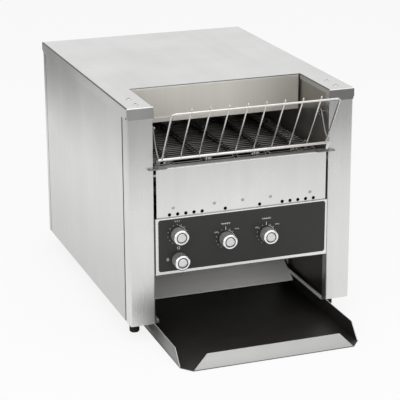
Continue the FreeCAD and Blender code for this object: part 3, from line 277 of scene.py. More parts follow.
def turned(name, colour, rough, centres):
    """Turned metal with fine rings about one of several centres on the front."""
    mat, tree, shader, coord = new_material(name)
    split = tree.nodes.new("ShaderNodeSeparateXYZ")
    tree.links.new(coord, split.inputs["Vector"])
    nearest = None
    for x, z in centres:
        dx = join(tree, "SUBTRACT", split.outputs["X"], x)
        dz = join(tree, "SUBTRACT", split.outputs["Z"], z)
        squares = join(tree, "ADD", join(tree, "MULTIPLY", dx, dx), join(tree, "MULTIPLY", dz, dz))
        nearest = squares if nearest is None else join(tree, "MINIMUM", nearest, squares)
    radius = join(tree, "SQRT", nearest, 0.0)
    rings = tree.nodes.new("ShaderNodeTexNoise")
    rings.noise_dimensions = "1D"
    rings.inputs["Scale"].default_value = 5200.0
    rings.inputs["Detail"].default_value = 2.0
    tree.links.new(radius, rings.inputs["W"])
    tone = spread(tree, rings.outputs["Fac"], 0.0, 1.0)
    base = blend_colours(tree, tone, shade(colour, 0.93), shade(colour, 1.05))
    tree.links.new(base, shader.inputs["Base Color"])
    shader.inputs["Metallic"].default_value = 1.0
    tree.links.new(spread(tree, rings.outputs["Fac"], rough - 0.05, rough + 0.05), shader.inputs["Roughness"])
    add_bump(tree, shader, rings.outputs["Fac"], 0.12, 0.0001)
    return mat


# Painted shade: a sheet's own colour is multiplied by each of these, which darkens it by the way a face looks
# or by its place, where shade falls or a dark room would be reflected.

def fold_painted_reflection(tree, _):
    """Painted dark reflection: a dark line on the narrow rounded folds that turn from one side or the top to
    another side, where they would mirror a dark room.
    """
    sideways = side_turn(tree)
    from_flat = smooth_step(tree, sideways, 0.06, 0.22, 0.0, 1.0)
    to_side = smooth_step(tree, sideways, 0.90, 0.995, 1.0, 0.0)
    return blend_colours(tree, join(tree, "MULTIPLY", from_flat, to_side), (1.0, 1.0, 1.0), (0.16, 0.16, 0.15))


def front_flange_painted_shade(tree, coord):
    """Painted shade: darker on the folded front edge of the cover, most of all at the right."""
    facing = smooth_step(tree, face_turn(tree, (0.0, -1.0, 0.0)), 0.85, 0.99, 0.0, 1.0)
    side = smooth_step(tree, run_along(tree, coord, (1.0, 0.0, 0.0)), -0.15, 0.15, 0.50, 0.70)
    return darken(tree, join(tree, "MULTIPLY", facing, side))


def side_painted_shade(tree, coord):
    """Painted shade: a little darker towards the counter, and towards the upper rear corner."""
    height = run_along(tree, coord, (0.0, 0.0, 1.0))
    depth = run_along(tree, coord, (0.0, 1.0, 0.0))
    low = smooth_step(tree, height, 0.0, 0.28, 0.26, 0.0)
    high = join(tree, "MULTIPLY", smooth_step(tree, height, 0.22, 0.37, 0.0, 1.0),
                smooth_step(tree, depth, -0.15, 0.28, 0.08, 0.44))
    return darken(tree, join(tree, "ADD", low, high))


def column_painted_shade(tree, coord):
    """Painted shade: a little darker under the cover."""
    return darken(tree, smooth_step(tree, run_along(tree, coord, (0.0, 0.0, 1.0)), 0.26, 0.36, 0.0, 0.17))


def rear_painted_shade(tree, coord):
    """Painted shade: darker from the front to the rear along the side's upper flange."""
    facing = smooth_step(tree, side_turn(tree), 0.85, 0.99, 0.0, 1.0)
    depth = smooth_step(tree, run_along(tree, coord, (0.0, 1.0, 0.0)), -0.10, 0.26, 0.0, 0.52)
    return darken(tree, join(tree, "MULTIPLY", facing, depth))


def tray_wall_painted_shade(tree, coord):
    """Painted shade: darker on the faces that look sideways, most of all near the cabinet, and a painted
    contact shadow along the lowest edge.
    """
    facing = smooth_step(tree, side_turn(tree), 0.85, 0.99, 0.0, 1.0)
    depth = smooth_step(tree, run_along(tree, coord, (0.0, 1.0, 0.0)), -0.265, -0.19, 0.46, 0.88)
    edge = smooth_step(tree, run_along(tree, coord, (0.0, 0.0, 1.0)), 0.0008, 0.0020, 0.85, 0.0)
    return darken(tree, join(tree, "MAXIMUM", join(tree, "MULTIPLY", facing, depth), edge))


def pan_painted_shade_and_light(tree, _):
    """Painted shade and light: dark but for the faces that look to the left, which are kept light as if they
    catch the light of the outlet.
    """
    facing = smooth_step(tree, face_turn(tree, (-1.0, 0.0, 0.0)), 0.20, 0.90, 0.0, 1.0)
    return blend_colours(tree, facing, (0.16, 0.16, 0.16), (1.0, 1.0, 1.0))


def outlet_painted_shade(tree, coord):
    """Painted shade: dark below the control panel, where little light comes in."""
    height = smooth_step(tree, run_along(tree, coord, (0.0, 0.0, 1.0)), 0.11, 0.20, 0.0, 1.0)
    return blend_colours(tree, height, (0.34, 0.34, 0.34), (1.0, 1.0, 1.0))


def hood_painted_shade(tree, coord):
    """Painted shade: a little darker towards the right."""
    return darken(tree, smooth_step(tree, run_along(tree, coord, (1.0, 0.0, 0.0)), 0.0, 0.15, 0.0, 0.36))


def ledge_painted_shade(tree, _):
    """Painted shade: darker on the narrow faces that look up, where they meet the sheet behind."""
    return darken(tree, smooth_step(tree, face_turn(tree, (0.0, 0.0, 1.0)), 0.25, 0.75, 0.0, 0.66))


CENTRES = [(spot.x, spot.z) for spot in (place((x, 0, z)) for x, z in CONTROLS.values())]
M = {
    "cover": steel("cover_steel", (0.67, 0.67, 0.665), 0.34, "Y", contrast=0.05, band=0.03,
                   painted_shades=(fold_painted_reflection, front_flange_painted_shade, rear_painted_shade)),
    "side": steel("side_steel", (0.84, 0.84, 0.83), 0.34, "Z", contrast=0.04, band=0.02,
                  painted_shades=(fold_painted_reflection, side_painted_shade)),
    "column": steel("column_steel", (0.78, 0.78, 0.77), 0.30, "Z", contrast=0.05, band=0.03, metal=0.92,
                    painted_shades=(column_painted_shade,)),
    "front": steel("front_steel", (0.83, 0.83, 0.82), 0.32, "Z", contrast=0.05, band=0.02, painted_shades=(ledge_painted_shade,)),
    "bezel": steel("bezel_steel", (0.84, 0.84, 0.835), 0.26, "X", contrast=0.05, band=0.03,
                   painted_shades=(ledge_painted_shade,)),
    "hood": steel("hood_steel", (0.80, 0.78, 0.715), 0.45, "Z", contrast=0.05, band=0.03, metal=0.5,
                  painted_shades=(hood_painted_shade,)),
    "wall": steel("wall_steel", (0.50, 0.485, 0.445), 0.40, "Z", contrast=0.07, band=0.04,
                  painted_shades=(outlet_painted_shade,)),
    "inner": steel("inner_steel", (0.26, 0.25, 0.24), 0.45, "Y", contrast=0.08, band=0.10),
    "pan": steel("pan_steel", (0.90, 0.89, 0.87), 0.45, "X", contrast=0.05, band=0.04, metal=0.3,
                 painted_shades=(pan_painted_shade_and_light,)),
    "ramp": steel("ramp_steel", (0.90, 0.89, 0.86), 0.45, "X", contrast=0.05, band=0.04, metal=0.15),
    "tray_out": steel("tray_steel", (0.54, 0.54, 0.53), 0.50, "X", contrast=0.06, band=0.03, metal=0.6,
                      painted_shades=(tray_wall_painted_shade,)),
    "plate": steel("plate_steel", (0.24, 0.24, 0.235), 0.30, "X"),
    "screw": wire("screw_steel", (0.62, 0.62, 0.61), 0.34),
    "rivet": wire("rivet_steel", (0.44, 0.44, 0.43), 0.36),
    "rack": wire("rack_plating", (0.66, 0.64, 0.62), 0.20, 0.06),
    # Painted shade: the rack's arms use a darker copy of its plated wire for the shade they lie in.
    "rack_arm": wire("rack_arm_painted_shade", (0.20, 0.195, 0.19), 0.30, 0.08),
    "belt": wire("belt_wire_metal", (0.13, 0.127, 0.12), 0.34, 0.16),
    "drive": wire("drive_metal", (0.34, 0.34, 0.33), 0.38, 0.12),
    "bronze": wire("bushing_bronze", (0.52, 0.38, 0.20), 0.40, 0.15),
    "element": moulded("element_skin", (0.055, 0.052, 0.048), 0.55, 0.25, 420.0, 0.25),
    "ceramic": moulded("ceramic_white", (0.72, 0.70, 0.65), 0.62, 0.06, 500.0, 0.15),
    "cast": moulded("gear_cast", (0.20, 0.21, 0.22), 0.55, 0.15, 350.0, 0.5),
    "paint": moulded("motor_black", (0.022, 0.022, 0.024), 0.38, 0.12, 800.0, 0.1, 0.3),
    "black": moulded("moulded_black", (0.020, 0.020, 0.020), 0.48, 0.15, 900.0, 0.2),
    "rubber": moulded("foot_rubber", (0.008, 0.008, 0.008), 0.60, 0.2, 600.0, 0.4, shine=0.2),
    "block": moulded("block_white", (0.66, 0.64, 0.58), 0.45, 0.05, 700.0, 0.15),
    "overlay": moulded("overlay_film", (0.018, 0.0175, 0.0163), 0.46, 0.05, 1300.0, 0.10),
    "grip": wire("knob_grip", (0.42, 0.42, 0.42), 0.34, 0.08, 0.55),
    "groove": moulded("knob_groove", (0.030, 0.030, 0.031), 0.45, 0.10, 900.0, 0.15),
    "ink": moulded("panel_ink", (0.76, 0.76, 0.75), 0.55, 0.04, 1500.0, 0.05),
    "tray_in": moulded("tray_coating", (0.014, 0.0128, 0.0118), 0.50, 0.20, 1100.0, 0.12, shine=0.30),
    "ring": turned("cap_ring", (0.92, 0.92, 0.92), 0.22, CENTRES),
    "disc": turned("cap_disc", (0.74, 0.74, 0.74), 0.34, CENTRES),
}

NODE_LOOKS = {
    "top_cover": "cover", "side_panel_left": "side", "side_panel_right": "side", "back_panel": "side",
    "front_column_left": "column", "front_column_right": "column", "front_panel": "front",
    "control_panel": "bezel", "hood_panel": "hood", "base_pan": "pan", "inner_wall_left": "wall",
    "inner_wall_right": "wall", "control_box": "inner", "toast_ramp": "ramp", "rear_deflector": "inner",
    "heat_shield": "inner", "upper_reflector": "inner", "lower_reflector": "inner",
    "control_overlay": "overlay", "drive_shaft": "drive", "idler_shaft": "drive", "gearbox_shaft": "drive",
    "drive_sprockets": "drive", "idler_sprockets": "drive", "driven_chain_sprocket": "drive",
    "motor_chain_sprocket": "drive", "drive_chain": "drive", "upper_elements": "element",
    "lower_elements": "element", "element_insulators": "ceramic", "shaft_bushings": "bronze",
    "gearbox": "cast", "drive_motor": "paint", "fan_frame": "black", "fan_impeller": "black",
    "fan_guard": "rack", "cable_gland": "black", "terminal_block": "block", "speed_control": "black",
    "top_heat_control": "black", "bottom_heat_control": "black", "power_switch": "black",
    "rack_rests": "plate", "feet": "rubber",
}
for node, look in NODE_LOOKS.items():
    mesh_object = nodes[node]
    for slot in mesh_object.material_slots:
        slot.material = M[look]


# Shapes

class Shape:
    """Gathers closed forms, in millimetres of the cabinet, and turns them into one piece."""

    def __init__(self):
        self.points = []
        self.faces = []
        self.looks = []
        self.smooth = []

    def add(self, points, faces, look=0, smooth=True):
        """Adds a form; look is one index, or a list with one for each face."""
        start = len(self.points)
        self.points += [Vector(p) for p in points]
        self.faces += [[start + i for i in face] for face in faces]
        self.looks += look if isinstance(look, list) else [look] * len(faces)
        self.smooth += [smooth] * len(faces)

    def prism(self, outline, push, look=0):
        """A flat outline pushed along a vector."""
        count = len(outline)
        points = [Vector(p) for p in outline]
        points += [p + Vector(push) for p in points]
        faces = [list(range(count))[::-1], list(range(count, 2 * count))]
        faces += [[i, (i + 1) % count, count + (i + 1) % count, count + i] for i in range(count)]
        self.add(points, faces, look, False)

    def tube(self, path, radius, sides=10, look=0, closed=False, dome=True):
        """A round wire along a path, with mitred corners and domed ends."""
        path = [Vector(p) for p in path]
        count = len(path)
        runs = []
        for i in range(count if closed else count - 1):
            runs.append((path[(i + 1) % count] - path[i]).normalized())
        side = runs[0].orthogonal().normalized()
        rings = []
        for i in range(count):
            before = runs[i - 1] if (closed or i > 0) else runs[0]
            after = runs[i] if (closed or i < count - 1) else runs[-1]
            tangent = (before + after).normalized()
            stretch = 1 / max(0.35, math.sqrt((1 + before.dot(after)) / 2))
            side = (side - tangent * side.dot(tangent)).normalized()
            other = tangent.cross(side)
            bend = after - before
            bend_axis = bend.normalized() if bend.length > 1e-6 else None
            ring = []
            for k in range(sides):
                angle = 2 * math.pi * k / sides
                offset = (side * math.cos(angle) + other * math.sin(angle)) * radius
                if bend_axis:
                    offset += bend_axis * offset.dot(bend_axis) * (stretch - 1)
                ring.append(path[i] + offset)
            rings.append((ring, tangent, side, other, path[i]))
        points = [p for ring in rings for p in ring[0]]
        faces = []
        last = count if closed else count - 1
        for i in range(last):
            a = i * sides
            b = ((i + 1) % count) * sides
            for k in range(sides):
                n = (k + 1) % sides
                faces.append([a + k, a + n, b + n, b + k])
        if not closed:
            for end, direction in ((0, -1), (count - 1, 1)):
                ring, tangent, side, other, centre = rings[end]
                base = end * sides
                if dome:
                    steps = 2
                    previous = base
                    for step in range(1, steps + 1):
                        lift = math.pi / 2 * step / (steps + 1)
                        start = len(points)
                        for k in range(sides):
                            angle = 2 * math.pi * k / sides
                            offset = (side * math.cos(angle) + other * math.sin(angle)) * radius
                            rise = tangent * direction * radius * 0.6 * math.sin(lift)
                            points.append(centre + offset * math.cos(lift) + rise)
                        for k in range(sides):
                            n = (k + 1) % sides
                            quad = [previous + k, previous + n, start + n, start + k]
                            faces.append(quad if direction > 0 else quad[::-1])
                        previous = start
                    base = previous
                cap = [base + k for k in range(sides)]
                faces.append(cap if direction > 0 else cap[::-1])
        self.add(points, faces, look)

    def lathe(self, centre, axis, profile, segments=48, flute=None):
        """A turned form: profile holds (radius, distance along the axis, look) from one end to the other."""
        axis = Vector(axis).normalized()
        side = axis.orthogonal().normalized()
        other = axis.cross(side)
        centre = Vector(centre)
        points = []
        faces = []
        looks = []
        for index, (radius, along, _) in enumerate(profile):
            for k in range(segments):
                angle = 2 * math.pi * k / segments
                r = radius * (flute(index, k) if flute else 1)
                points.append(centre + axis * along + (side * math.cos(angle) + other * math.sin(angle)) * r)
        for index in range(len(profile) - 1):
            for k in range(segments):
                n = (k + 1) % segments
                a = index * segments
                b = a + segments
                faces.append([a + k, a + n, b + n, b + k])
                looks.append(profile[index + 1][2])
        faces.append(list(range(segments))[::-1])
        looks.append(profile[0][2])
        faces.append([(len(profile) - 1) * segments + k for k in range(segments)])
        looks.append(profile[-1][2])
        start = len(self.points)
        self.points += points
        self.faces += [[start + i for i in face] for face in faces]
        self.looks += looks
        self.smooth += [True] * len(faces)

    def make(self, name, looks, body, replaces=(), sharp=35.0, bevel=0.0, weld=False):
        """Turns the forms into one piece that rides on a body."""
        mesh = bpy.data.meshes.new(name)
        mesh.from_pydata([place(p) for p in self.points], [], self.faces)
        for look in looks:
            mesh.materials.append(M[look])
        mesh.polygons.foreach_set("material_index", self.looks)
        mesh.polygons.foreach_set("use_smooth", self.smooth)
        work = bmesh.new()
        work.from_mesh(mesh)
        if weld:
            bmesh.ops.remove_doubles(work, verts=work.verts, dist=1e-6)
        bmesh.ops.recalc_face_normals(work, faces=work.faces)
        if bevel:
            edges = [e for e in work.edges
                     if len(e.link_faces) == 2 and e.calc_face_angle(0.0) > math.radians(30)]
            bmesh.ops.bevel(work, geom=edges, offset=bevel / 1000, segments=2, profile=0.5, affect="EDGES",
                            clamp_overlap=True)
            for face in work.faces:
                face.smooth = True
        work.to_mesh(mesh)
        work.free()
        mesh.set_sharp_from_angle(angle=math.radians(sharp))
        piece = bpy.data.objects.new(name, mesh)
        bpy.context.scene.collection.objects.link(piece)
        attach(piece, body)
        if replaces:
            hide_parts(*replaces)
        return piece


def rounded(points, bend, steps=5):
    """A path whose corners are rounded by arcs."""
    points = [Vector(p) for p in points]
    path = [points[0]]
    for i in range(1, len(points) - 1):
        before = (points[i - 1] - points[i]).normalized()
        after = (points[i + 1] - points[i]).normalized()
        half = before.angle(after) / 2
        reach = bend / math.tan(half)
        start = points[i] + before * reach
        end = points[i] + after * reach
        centre = points[i] + (before + after).normalized() * (bend / math.sin(half))
        for step in range(steps + 1):
            arm = (start - centre).slerp(end - centre, step / steps).normalized()
            path.append(centre + arm * bend)
    path.append(points[-1])
    return path


# Wire belt: cross wires hooked to each other along several lines

LINK_LINES = (-1.0, -0.8, -0.4, 0.0, 0.4, 0.8, 1.0)
LINK_HALF = 3.4
BELT_WIRE = 0.85
LOOP_RUN = RUN_PITCHES * BELT_PITCH
LOOP_BEND = math.pi * BELT_RADIUS
LOOP_LENGTH = 2 * (LOOP_RUN + LOOP_BEND)


def on_loop(distance, offset):
    """A point of the belt's closed loop, seen from the side, with its height over the middle of the wire."""
    d = distance % LOOP_LENGTH
    if d < LOOP_RUN:
        return FRONT_AXIS + d, SHAFT_Z + BELT_RADIUS + offset
    d -= LOOP_RUN
    if d < LOOP_BEND:
        angle = d / BELT_RADIUS
        reach = BELT_RADIUS + offset
        return REAR_AXIS + reach * math.sin(angle), SHAFT_Z + reach * math.cos(angle)
    d -= LOOP_BEND
    if d < LOOP_RUN:
        return REAR_AXIS - d, SHAFT_Z - BELT_RADIUS - offset
    d -= LOOP_RUN
    angle = d / BELT_RADIUS
    reach = BELT_RADIUS + offset
    return FRONT_AXIS - reach * math.sin(angle), SHAFT_Z - reach * math.cos(angle)


def belt_wires():
    shape = Shape()
    count = round(LOOP_LENGTH / BELT_PITCH)
    step = LOOP_LENGTH / count

    def at(x, ahead, offset, row):
        y, z = on_loop(row * step + ahead, offset)
        return Vector((x, y, z))

    # One hook: how far ahead of its own wire, and how high over the belt's middle line
    leg = [(0.6, -0.62), (step * 0.55, 0.1), (step - 0.6, 0.85), (step + 0.9, 0.75), (step + 1.75, -0.1)]
    for row in range(count):
        path = []
        for index, share in enumerate(LINK_LINES):
            x = share * HALF_BELT
            first = index == 0
            last = index == len(LINK_LINES) - 1
            if first:
                left, right = x + BELT_WIRE, x + 2 * LINK_HALF * 0.7
            elif last:
                left, right = x - 2 * LINK_HALF * 0.7, x - BELT_WIRE
            else:
                left, right = x - LINK_HALF, x + LINK_HALF
            if first:
                path.append(at(right, leg[-1][0], leg[-1][1], row))
                path.append(at(left + 0.8, leg[-1][0], leg[-1][1], row))
                for ahead, offset in leg[::-1][1:]:
                    path.append(at(left, ahead, offset, row))
                path.append(at(left + 0.6, 0, -0.7, row))
                path.append(at(right, 0, -0.7, row))
            elif last:
                path.append(at(left, 0, -0.7, row))
                path.append(at(right - 0.6, 0, -0.7, row))
                for ahead, offset in leg[:-1]:
                    path.append(at(right, ahead, offset, row))
                path.append(at(right - 0.8, leg[-1][0], leg[-1][1], row))
                path.append(at(left, leg[-1][0], leg[-1][1], row))
            else:
                path.append(at(left - 0.6, 0, -0.7, row))
                for ahead, offset in leg[:-1]:
                    path.append(at(left, ahead, offset, row))
                path.append(at(left + 0.7, leg[-1][0], leg[-1][1], row))
                path.append(at(right - 0.7, leg[-1][0], leg[-1][1], row))
                for ahead, offset in leg[::-1][1:]:
                    path.append(at(right, ahead, offset, row))
                path.append(at(right + 0.6, 0, -0.7, row))
        shape.tube(path, BELT_WIRE, 6)
    shape.make("belt_wires", ["belt"], "cabinet",
               ["belt_upper_run", "belt_lower_run", "belt_front_bend", "belt_rear_bend"], 60.0)


belt_wires()


# Feed rack

RACK_FOOT = Vector((0, -10.0, BELT_LEVEL + 16.3))
RACK_HEAD = Vector((0, -60.0, BELT_LEVEL + 98.8))
RACK_HALF = HALF_RECESS - 10.0
RACK_ROD = 2.2
RACK_BAR = 1.6
RACK_WIRE = 1.2
RACK_ARM = 1.5
RACK_CORNER = 5.0
RACK_TIP = 4.8
RACK_WIRE_PLACES = (0.110, 0.330, 0.551, 0.771)
WELD_LIFT = 0.05
BEAD_RISE = 0.3
ARM_X = HALF_RECESS - 5.2
PIN_RADIUS = 2.0
PIN_PLACE = (22.0, BELT_LEVEL + 57.5)
HOOK_DROP = 6.0
KNEE = (4.0, BELT_LEVEL + 32.0)
TAB_WIDTHS = (7.0, 3.0)
TAB_FOOT = (-3.0, BELT_LEVEL + SHEET + RUNNING_GAP)


def weld_beads(shape, spot, radius):
    """Two small beads where a wire crosses a bar under it."""
    for side in (-1, 1):
        middle = spot + ACROSS * (side * 1.25)
        shape.tube([middle - ACROSS * 0.55, middle + ACROSS * 0.55], radius, 10)


def feed_rack():
    shape = Shape()
    slope = (RACK_HEAD - RACK_FOOT).normalized()
    upper_side = slope.cross(ACROSS)
    shape.tube([RACK_FOOT - ACROSS * ARM_X, RACK_FOOT + ACROSS * ARM_X], RACK_ROD, 20)
    frame_path = [RACK_FOOT - ACROSS * RACK_HALF, RACK_HEAD - ACROSS * RACK_HALF,
                  RACK_HEAD + ACROSS * RACK_HALF, RACK_FOOT + ACROSS * RACK_HALF]
    shape.tube(rounded(frame_path, RACK_CORNER, 8), RACK_BAR, 16)
    for side in (-1, 1):
        for share in RACK_WIRE_PLACES:
            x = ACROSS * (side * share * RACK_HALF)
            start = RACK_FOOT + upper_side * (RACK_ROD + RACK_WIRE + WELD_LIFT) + x
            end = RACK_HEAD + upper_side * (RACK_BAR + RACK_WIRE + WELD_LIFT) + x
            shape.tube([start - slope * 1.5, end + slope * RACK_TIP], RACK_WIRE, 14)
            weld_beads(shape, RACK_FOOT + upper_side * (RACK_ROD + BEAD_RISE) + x, 0.62)
            weld_beads(shape, RACK_HEAD + upper_side * (RACK_BAR + BEAD_RISE) + x, 0.52)
    over = PIN_RADIUS + RACK_ARM + RUNNING_GAP
    pin_y, pin_z = PIN_PLACE
    side_path = [(pin_y + over, pin_z - HOOK_DROP), (pin_y + over, pin_z + over), (pin_y - over, pin_z + over),
                 KNEE, (RACK_FOOT.y, RACK_FOOT.z)]
    for side in (-1, 1):
        flip = Vector((side, 1, 1))
        points = rounded([(ARM_X, y, z) for y, z in side_path], over - RUNNING_GAP, 8)
        shape.tube([p * flip for p in points], RACK_ARM, 14, 1)
        tab = []
        for (y, z), width in zip(((RACK_FOOT.y, RACK_FOOT.z), TAB_FOOT), TAB_WIDTHS):
            for dx, dy in ((-0.5, -0.5), (0.5, -0.5), (0.5, 0.5), (-0.5, 0.5)):
                tab.append(Vector((ARM_X + dx * width, y + dy * SHEET, z)) * flip)
        faces = [[3, 2, 1, 0], [4, 5, 6, 7]] + [[i, (i + 1) % 4, 4 + (i + 1) % 4, 4 + i] for i in range(4)]
        shape.add(tab, faces, 0, False)
    shape.make("rack_plated", ["rack", "rack_arm"], "feed_rack_body", ["feed_rack", "rack_wires"],
               50.0)


feed_rack()


# Knobs and their caps: (radius, distance, look), with the grip's distance from its back and the cap's from
# the knob's front

KNOB_FLUTES = 36
FLUTE_DEPTH = 0.055
FLUTED = range(3, 7)
GRIP_SEGMENTS = 144
GRIP_PROFILE = [(3.0, -18.0, 0), (3.0, -0.6, 0), (10.9, 0.0, 0), (11.9, 0.7, 0), (12.0, 1.6, 0),
                (11.9, KNOB_LENGTH - 3.0, 0), (11.8, KNOB_LENGTH - 2.3, 0), (11.3, KNOB_LENGTH - 2.0, 0),
                (9.6, KNOB_LENGTH - 2.0, 0)]
CAP_PROFILE = [(9.5, -3.6, 1), (9.5, -2.6, 1), (11.5, -1.95, 1), (11.9, -1.3, 0), (11.8, -0.9, 0),
               (10.9, -0.15, 0), (10.3, 0.0, 0), (8.9, 0.0, 0), (8.55, -0.15, 0), (8.5, -0.9, 1),
               (6.9, -0.9, 1), (6.85, -0.2, 2), (6.5, 0.0, 2), (4.0, 0.12, 2), (1.6, 0.18, 2),
               (0.2, 0.18, 2)]


def flute(index, k):
    """The grip's radius as a share, fluted over the rings between its two rims."""
    if index in FLUTED:
        return 1.0 - FLUTE_DEPTH * (0.5 + 0.5 * math.cos(2 * math.pi * k * KNOB_FLUTES / GRIP_SEGMENTS))
    return 1.0


def knob_shapes(name):
    x, z = CONTROLS[name]
    grip = Shape()
    grip.lathe((x, KNOB_BACK, z), -BACK, GRIP_PROFILE, GRIP_SEGMENTS, flute)
    grip.make(name + "_grip_fluted", ["grip"], name + "_dial", [name + "_knob"], 40.0)
    cap = Shape()
    cap.lathe((x, KNOB_BACK - KNOB_LENGTH, z), -BACK, CAP_PROFILE, 96)
    cap.make(name + "_cap_turned", ["ring", "groove", "disc"], name + "_dial", [name + "_knob_cap"],
             30.0)


for control in CONTROLS:
    knob_shapes(control)


# Printing on the overlay: ticks, dots, plain words and marks

INK = 0.06
DOT_REACH = 15.6
ARC_RADII = (13.3, 13.9)


def ink_bar(shape, x0, z0, x1, z1, width):
    """A straight printed line."""
    start = Vector((x0, OVERLAY_FACE, z0))
    run = Vector((x1 - x0, 0, z1 - z0))
    side = run.normalized().cross(BACK) * (width / 2)
    shape.prism([start - side, start + run - side, start + run + side, start + side], -BACK * INK)


def ink_dot(shape, x, z, radius, segments=14):
    ring = [Vector((x + radius * math.cos(2 * math.pi * k / segments), OVERLAY_FACE,
                    z + radius * math.sin(2 * math.pi * k / segments))) for k in range(segments)]
    shape.prism(ring, -BACK * INK)


def ink_arc(shape, x, z, inner, outer, start, end, segments=40):
    """A printed arc; angles in degrees from straight up, clockwise."""
    whole = abs(end - start) >= 360
    count = segments if whole else segments + 1
    points = []
    for k in range(count):
        angle = math.radians(start + (end - start) * k / segments)
        for radius in (inner, outer):
            for lift in (0, INK):
                points.append(Vector((x + radius * math.sin(angle), OVERLAY_FACE - lift,
                                      z + radius * math.cos(angle))))
    faces = []
    for k in range(segments):
        a = 4 * k
        b = 4 * ((k + 1) % count)
        faces += [[a, a + 1, b + 1, b], [a + 1, a + 3, b + 3, b + 1], [a + 3, a + 2, b + 2, b + 3],
                  [a + 2, a, b, b + 2]]
    if not whole:
        end_start = 4 * (count - 1)
        faces += [[0, 2, 3, 1], [end_start + 1, end_start + 3, end_start + 2, end_start]]
    shape.add(points, faces, 0, False)


def ink_text(shape, text, x, z, size):
    """A plain generic word or number, centred on a place."""
    curve = bpy.data.curves.new("print_text", "FONT")
    curve.body = text
    curve.size = size
    curve.align_x = "CENTER"
    curve.align_y = "CENTER"
    curve.extrude = INK / 2
    curve.resolution_u = 3
    carrier = bpy.data.objects.new("print_text", curve)
    bpy.context.scene.collection.objects.link(carrier)
    bpy.context.view_layer.update()
    letters = bpy.data.meshes.new_from_object(carrier)
    points = [Vector((x + v.co.x, OVERLAY_FACE - INK / 2 - v.co.z, z + v.co.y)) for v in letters.vertices]
    shape.add(points, [list(p.vertices) for p in letters.polygons], 0, False)
    bpy.data.objects.remove(carrier)
    bpy.data.curves.remove(curve)
    bpy.data.meshes.remove(letters)


def panel_print():
    shape = Shape()
    for name in ("speed", "top_heat", "bottom_heat"):
        x, z = CONTROLS[name]
        for angle in range(-150, 151, 25):
            if name != "speed" and angle == 0:
                continue
            turn = math.radians(angle)
            ink_dot(shape, x + DOT_REACH * math.sin(turn), z + DOT_REACH * math.cos(turn), 0.55)
    x, z = CONTROLS["speed"]
    ink_arc(shape, x, z, *ARC_RADII, 10, 120)
    for k in range(3):
        left = x - 4.4 + 3.4 * k
        ink_bar(shape, left, z + 22.4, left + 1.6, z + 21.1, 0.55)
        ink_bar(shape, left + 1.6, z + 21.3, left, z + 20.0, 0.55)
    for name, rows in (("top_heat", -1), ("bottom_heat", 1)):
        x, z = CONTROLS[name]
        ink_bar(shape, x, z + 14.0, x, z + 19.2, 0.8)
        ink_text(shape, "MIN", x - 15.5, z + 11.6, 3.2)
        ink_text(shape, "MAX", x + 18.5, z + 13.4, 3.2)
        ink_arc(shape, x, z, *ARC_RADII, 14, 78, 24)
        level = z + 24.6
        ink_bar(shape, x - 7.5, level, x + 7.5, level, 0.7)
        for k in range(5):
            spot = x - 6.0 + 3.0 * k
            ink_bar(shape, spot, level + rows * 0.3, spot, level + rows * 2.1, 0.6)
    x, z = CONTROLS["power"]
    ink_arc(shape, x, z + 18.3, 1.7, 2.35, 0, 360, 28)
    ink_arc(shape, x - 17.6, z + 1.2, 1.5, 2.1, 0, 360, 28)
    ink_bar(shape, x - 17.6, z + 0.2, x - 17.6, z + 4.4, 0.6)
    shape.make("panel_print", ["ink"], "cabinet", (), weld=True)


panel_print()


# Toast tray: steel outside, dark coating inside

TRAY_HALF = HALF_RECESS + 2.0
TRAY_REACH = 137.0
TRAY_REAR = 190.0
TRAY_CORNER = 15.0
WALL_FOOT = 119.0
WALL_END = 96.0
LIP_HEIGHT = 24.0
LIP_SLOPE = 23.3
LIP_LEAN = 3.5
REAR_LIP = 8.0


def toast_tray():
    shape = Shape()
    front = -TRAY_REACH
    rear = TRAY_REAR
    corner_x = TRAY_HALF - TRAY_CORNER
    corner_y = -WALL_FOOT
    low = -FOOT_HEIGHT
    high = -RUNNING_GAP
    lip_top = low + LIP_HEIGHT
    top_x = corner_x - LIP_SLOPE

    def plate(outer, inner):
        """A plate between its steel face and its coated face."""
        count = len(outer)
        faces = [list(range(count)), list(range(count, 2 * count))[::-1]]
        faces += [[i, (i + 1) % count, count + (i + 1) % count, count + i] for i in range(count)]
        shape.add(outer + inner, faces, [0, 1] + [0] * count, False)

    floor_line = [(-corner_x, front), (corner_x, front), (TRAY_HALF, corner_y), (TRAY_HALF, rear),
                  (-TRAY_HALF, rear), (-TRAY_HALF, corner_y)]
    plate([(x, y, low) for x, y in floor_line], [(x, y, low + SHEET) for x, y in floor_line])
    for side in (-1, 1):
        x = side * TRAY_HALF
        wall = [(corner_y, low), (rear, low), (rear, high), (-WALL_END, high)]
        plate([(x, y, z) for y, z in wall], [(x - side * SHEET, y, z) for y, z in wall])
    lip = [(-corner_x, front, low), (corner_x, front, low), (top_x, front + LIP_LEAN, lip_top),
           (-top_x, front + LIP_LEAN, lip_top)]
    plate(lip, [(x, y + SHEET, z) for x, y, z in lip])
    back = [(-TRAY_HALF, low), (TRAY_HALF, low), (TRAY_HALF, low + REAR_LIP), (-TRAY_HALF, low + REAR_LIP)]
    plate([(x, rear, z) for x, z in back], [(x, rear - SHEET, z) for x, z in back])
    shape.make("tray_sheet", ["tray_out", "tray_in"], "toast_tray_body", ["toast_tray"],
               bevel=0.28)


toast_tray()


# Screws and rivets

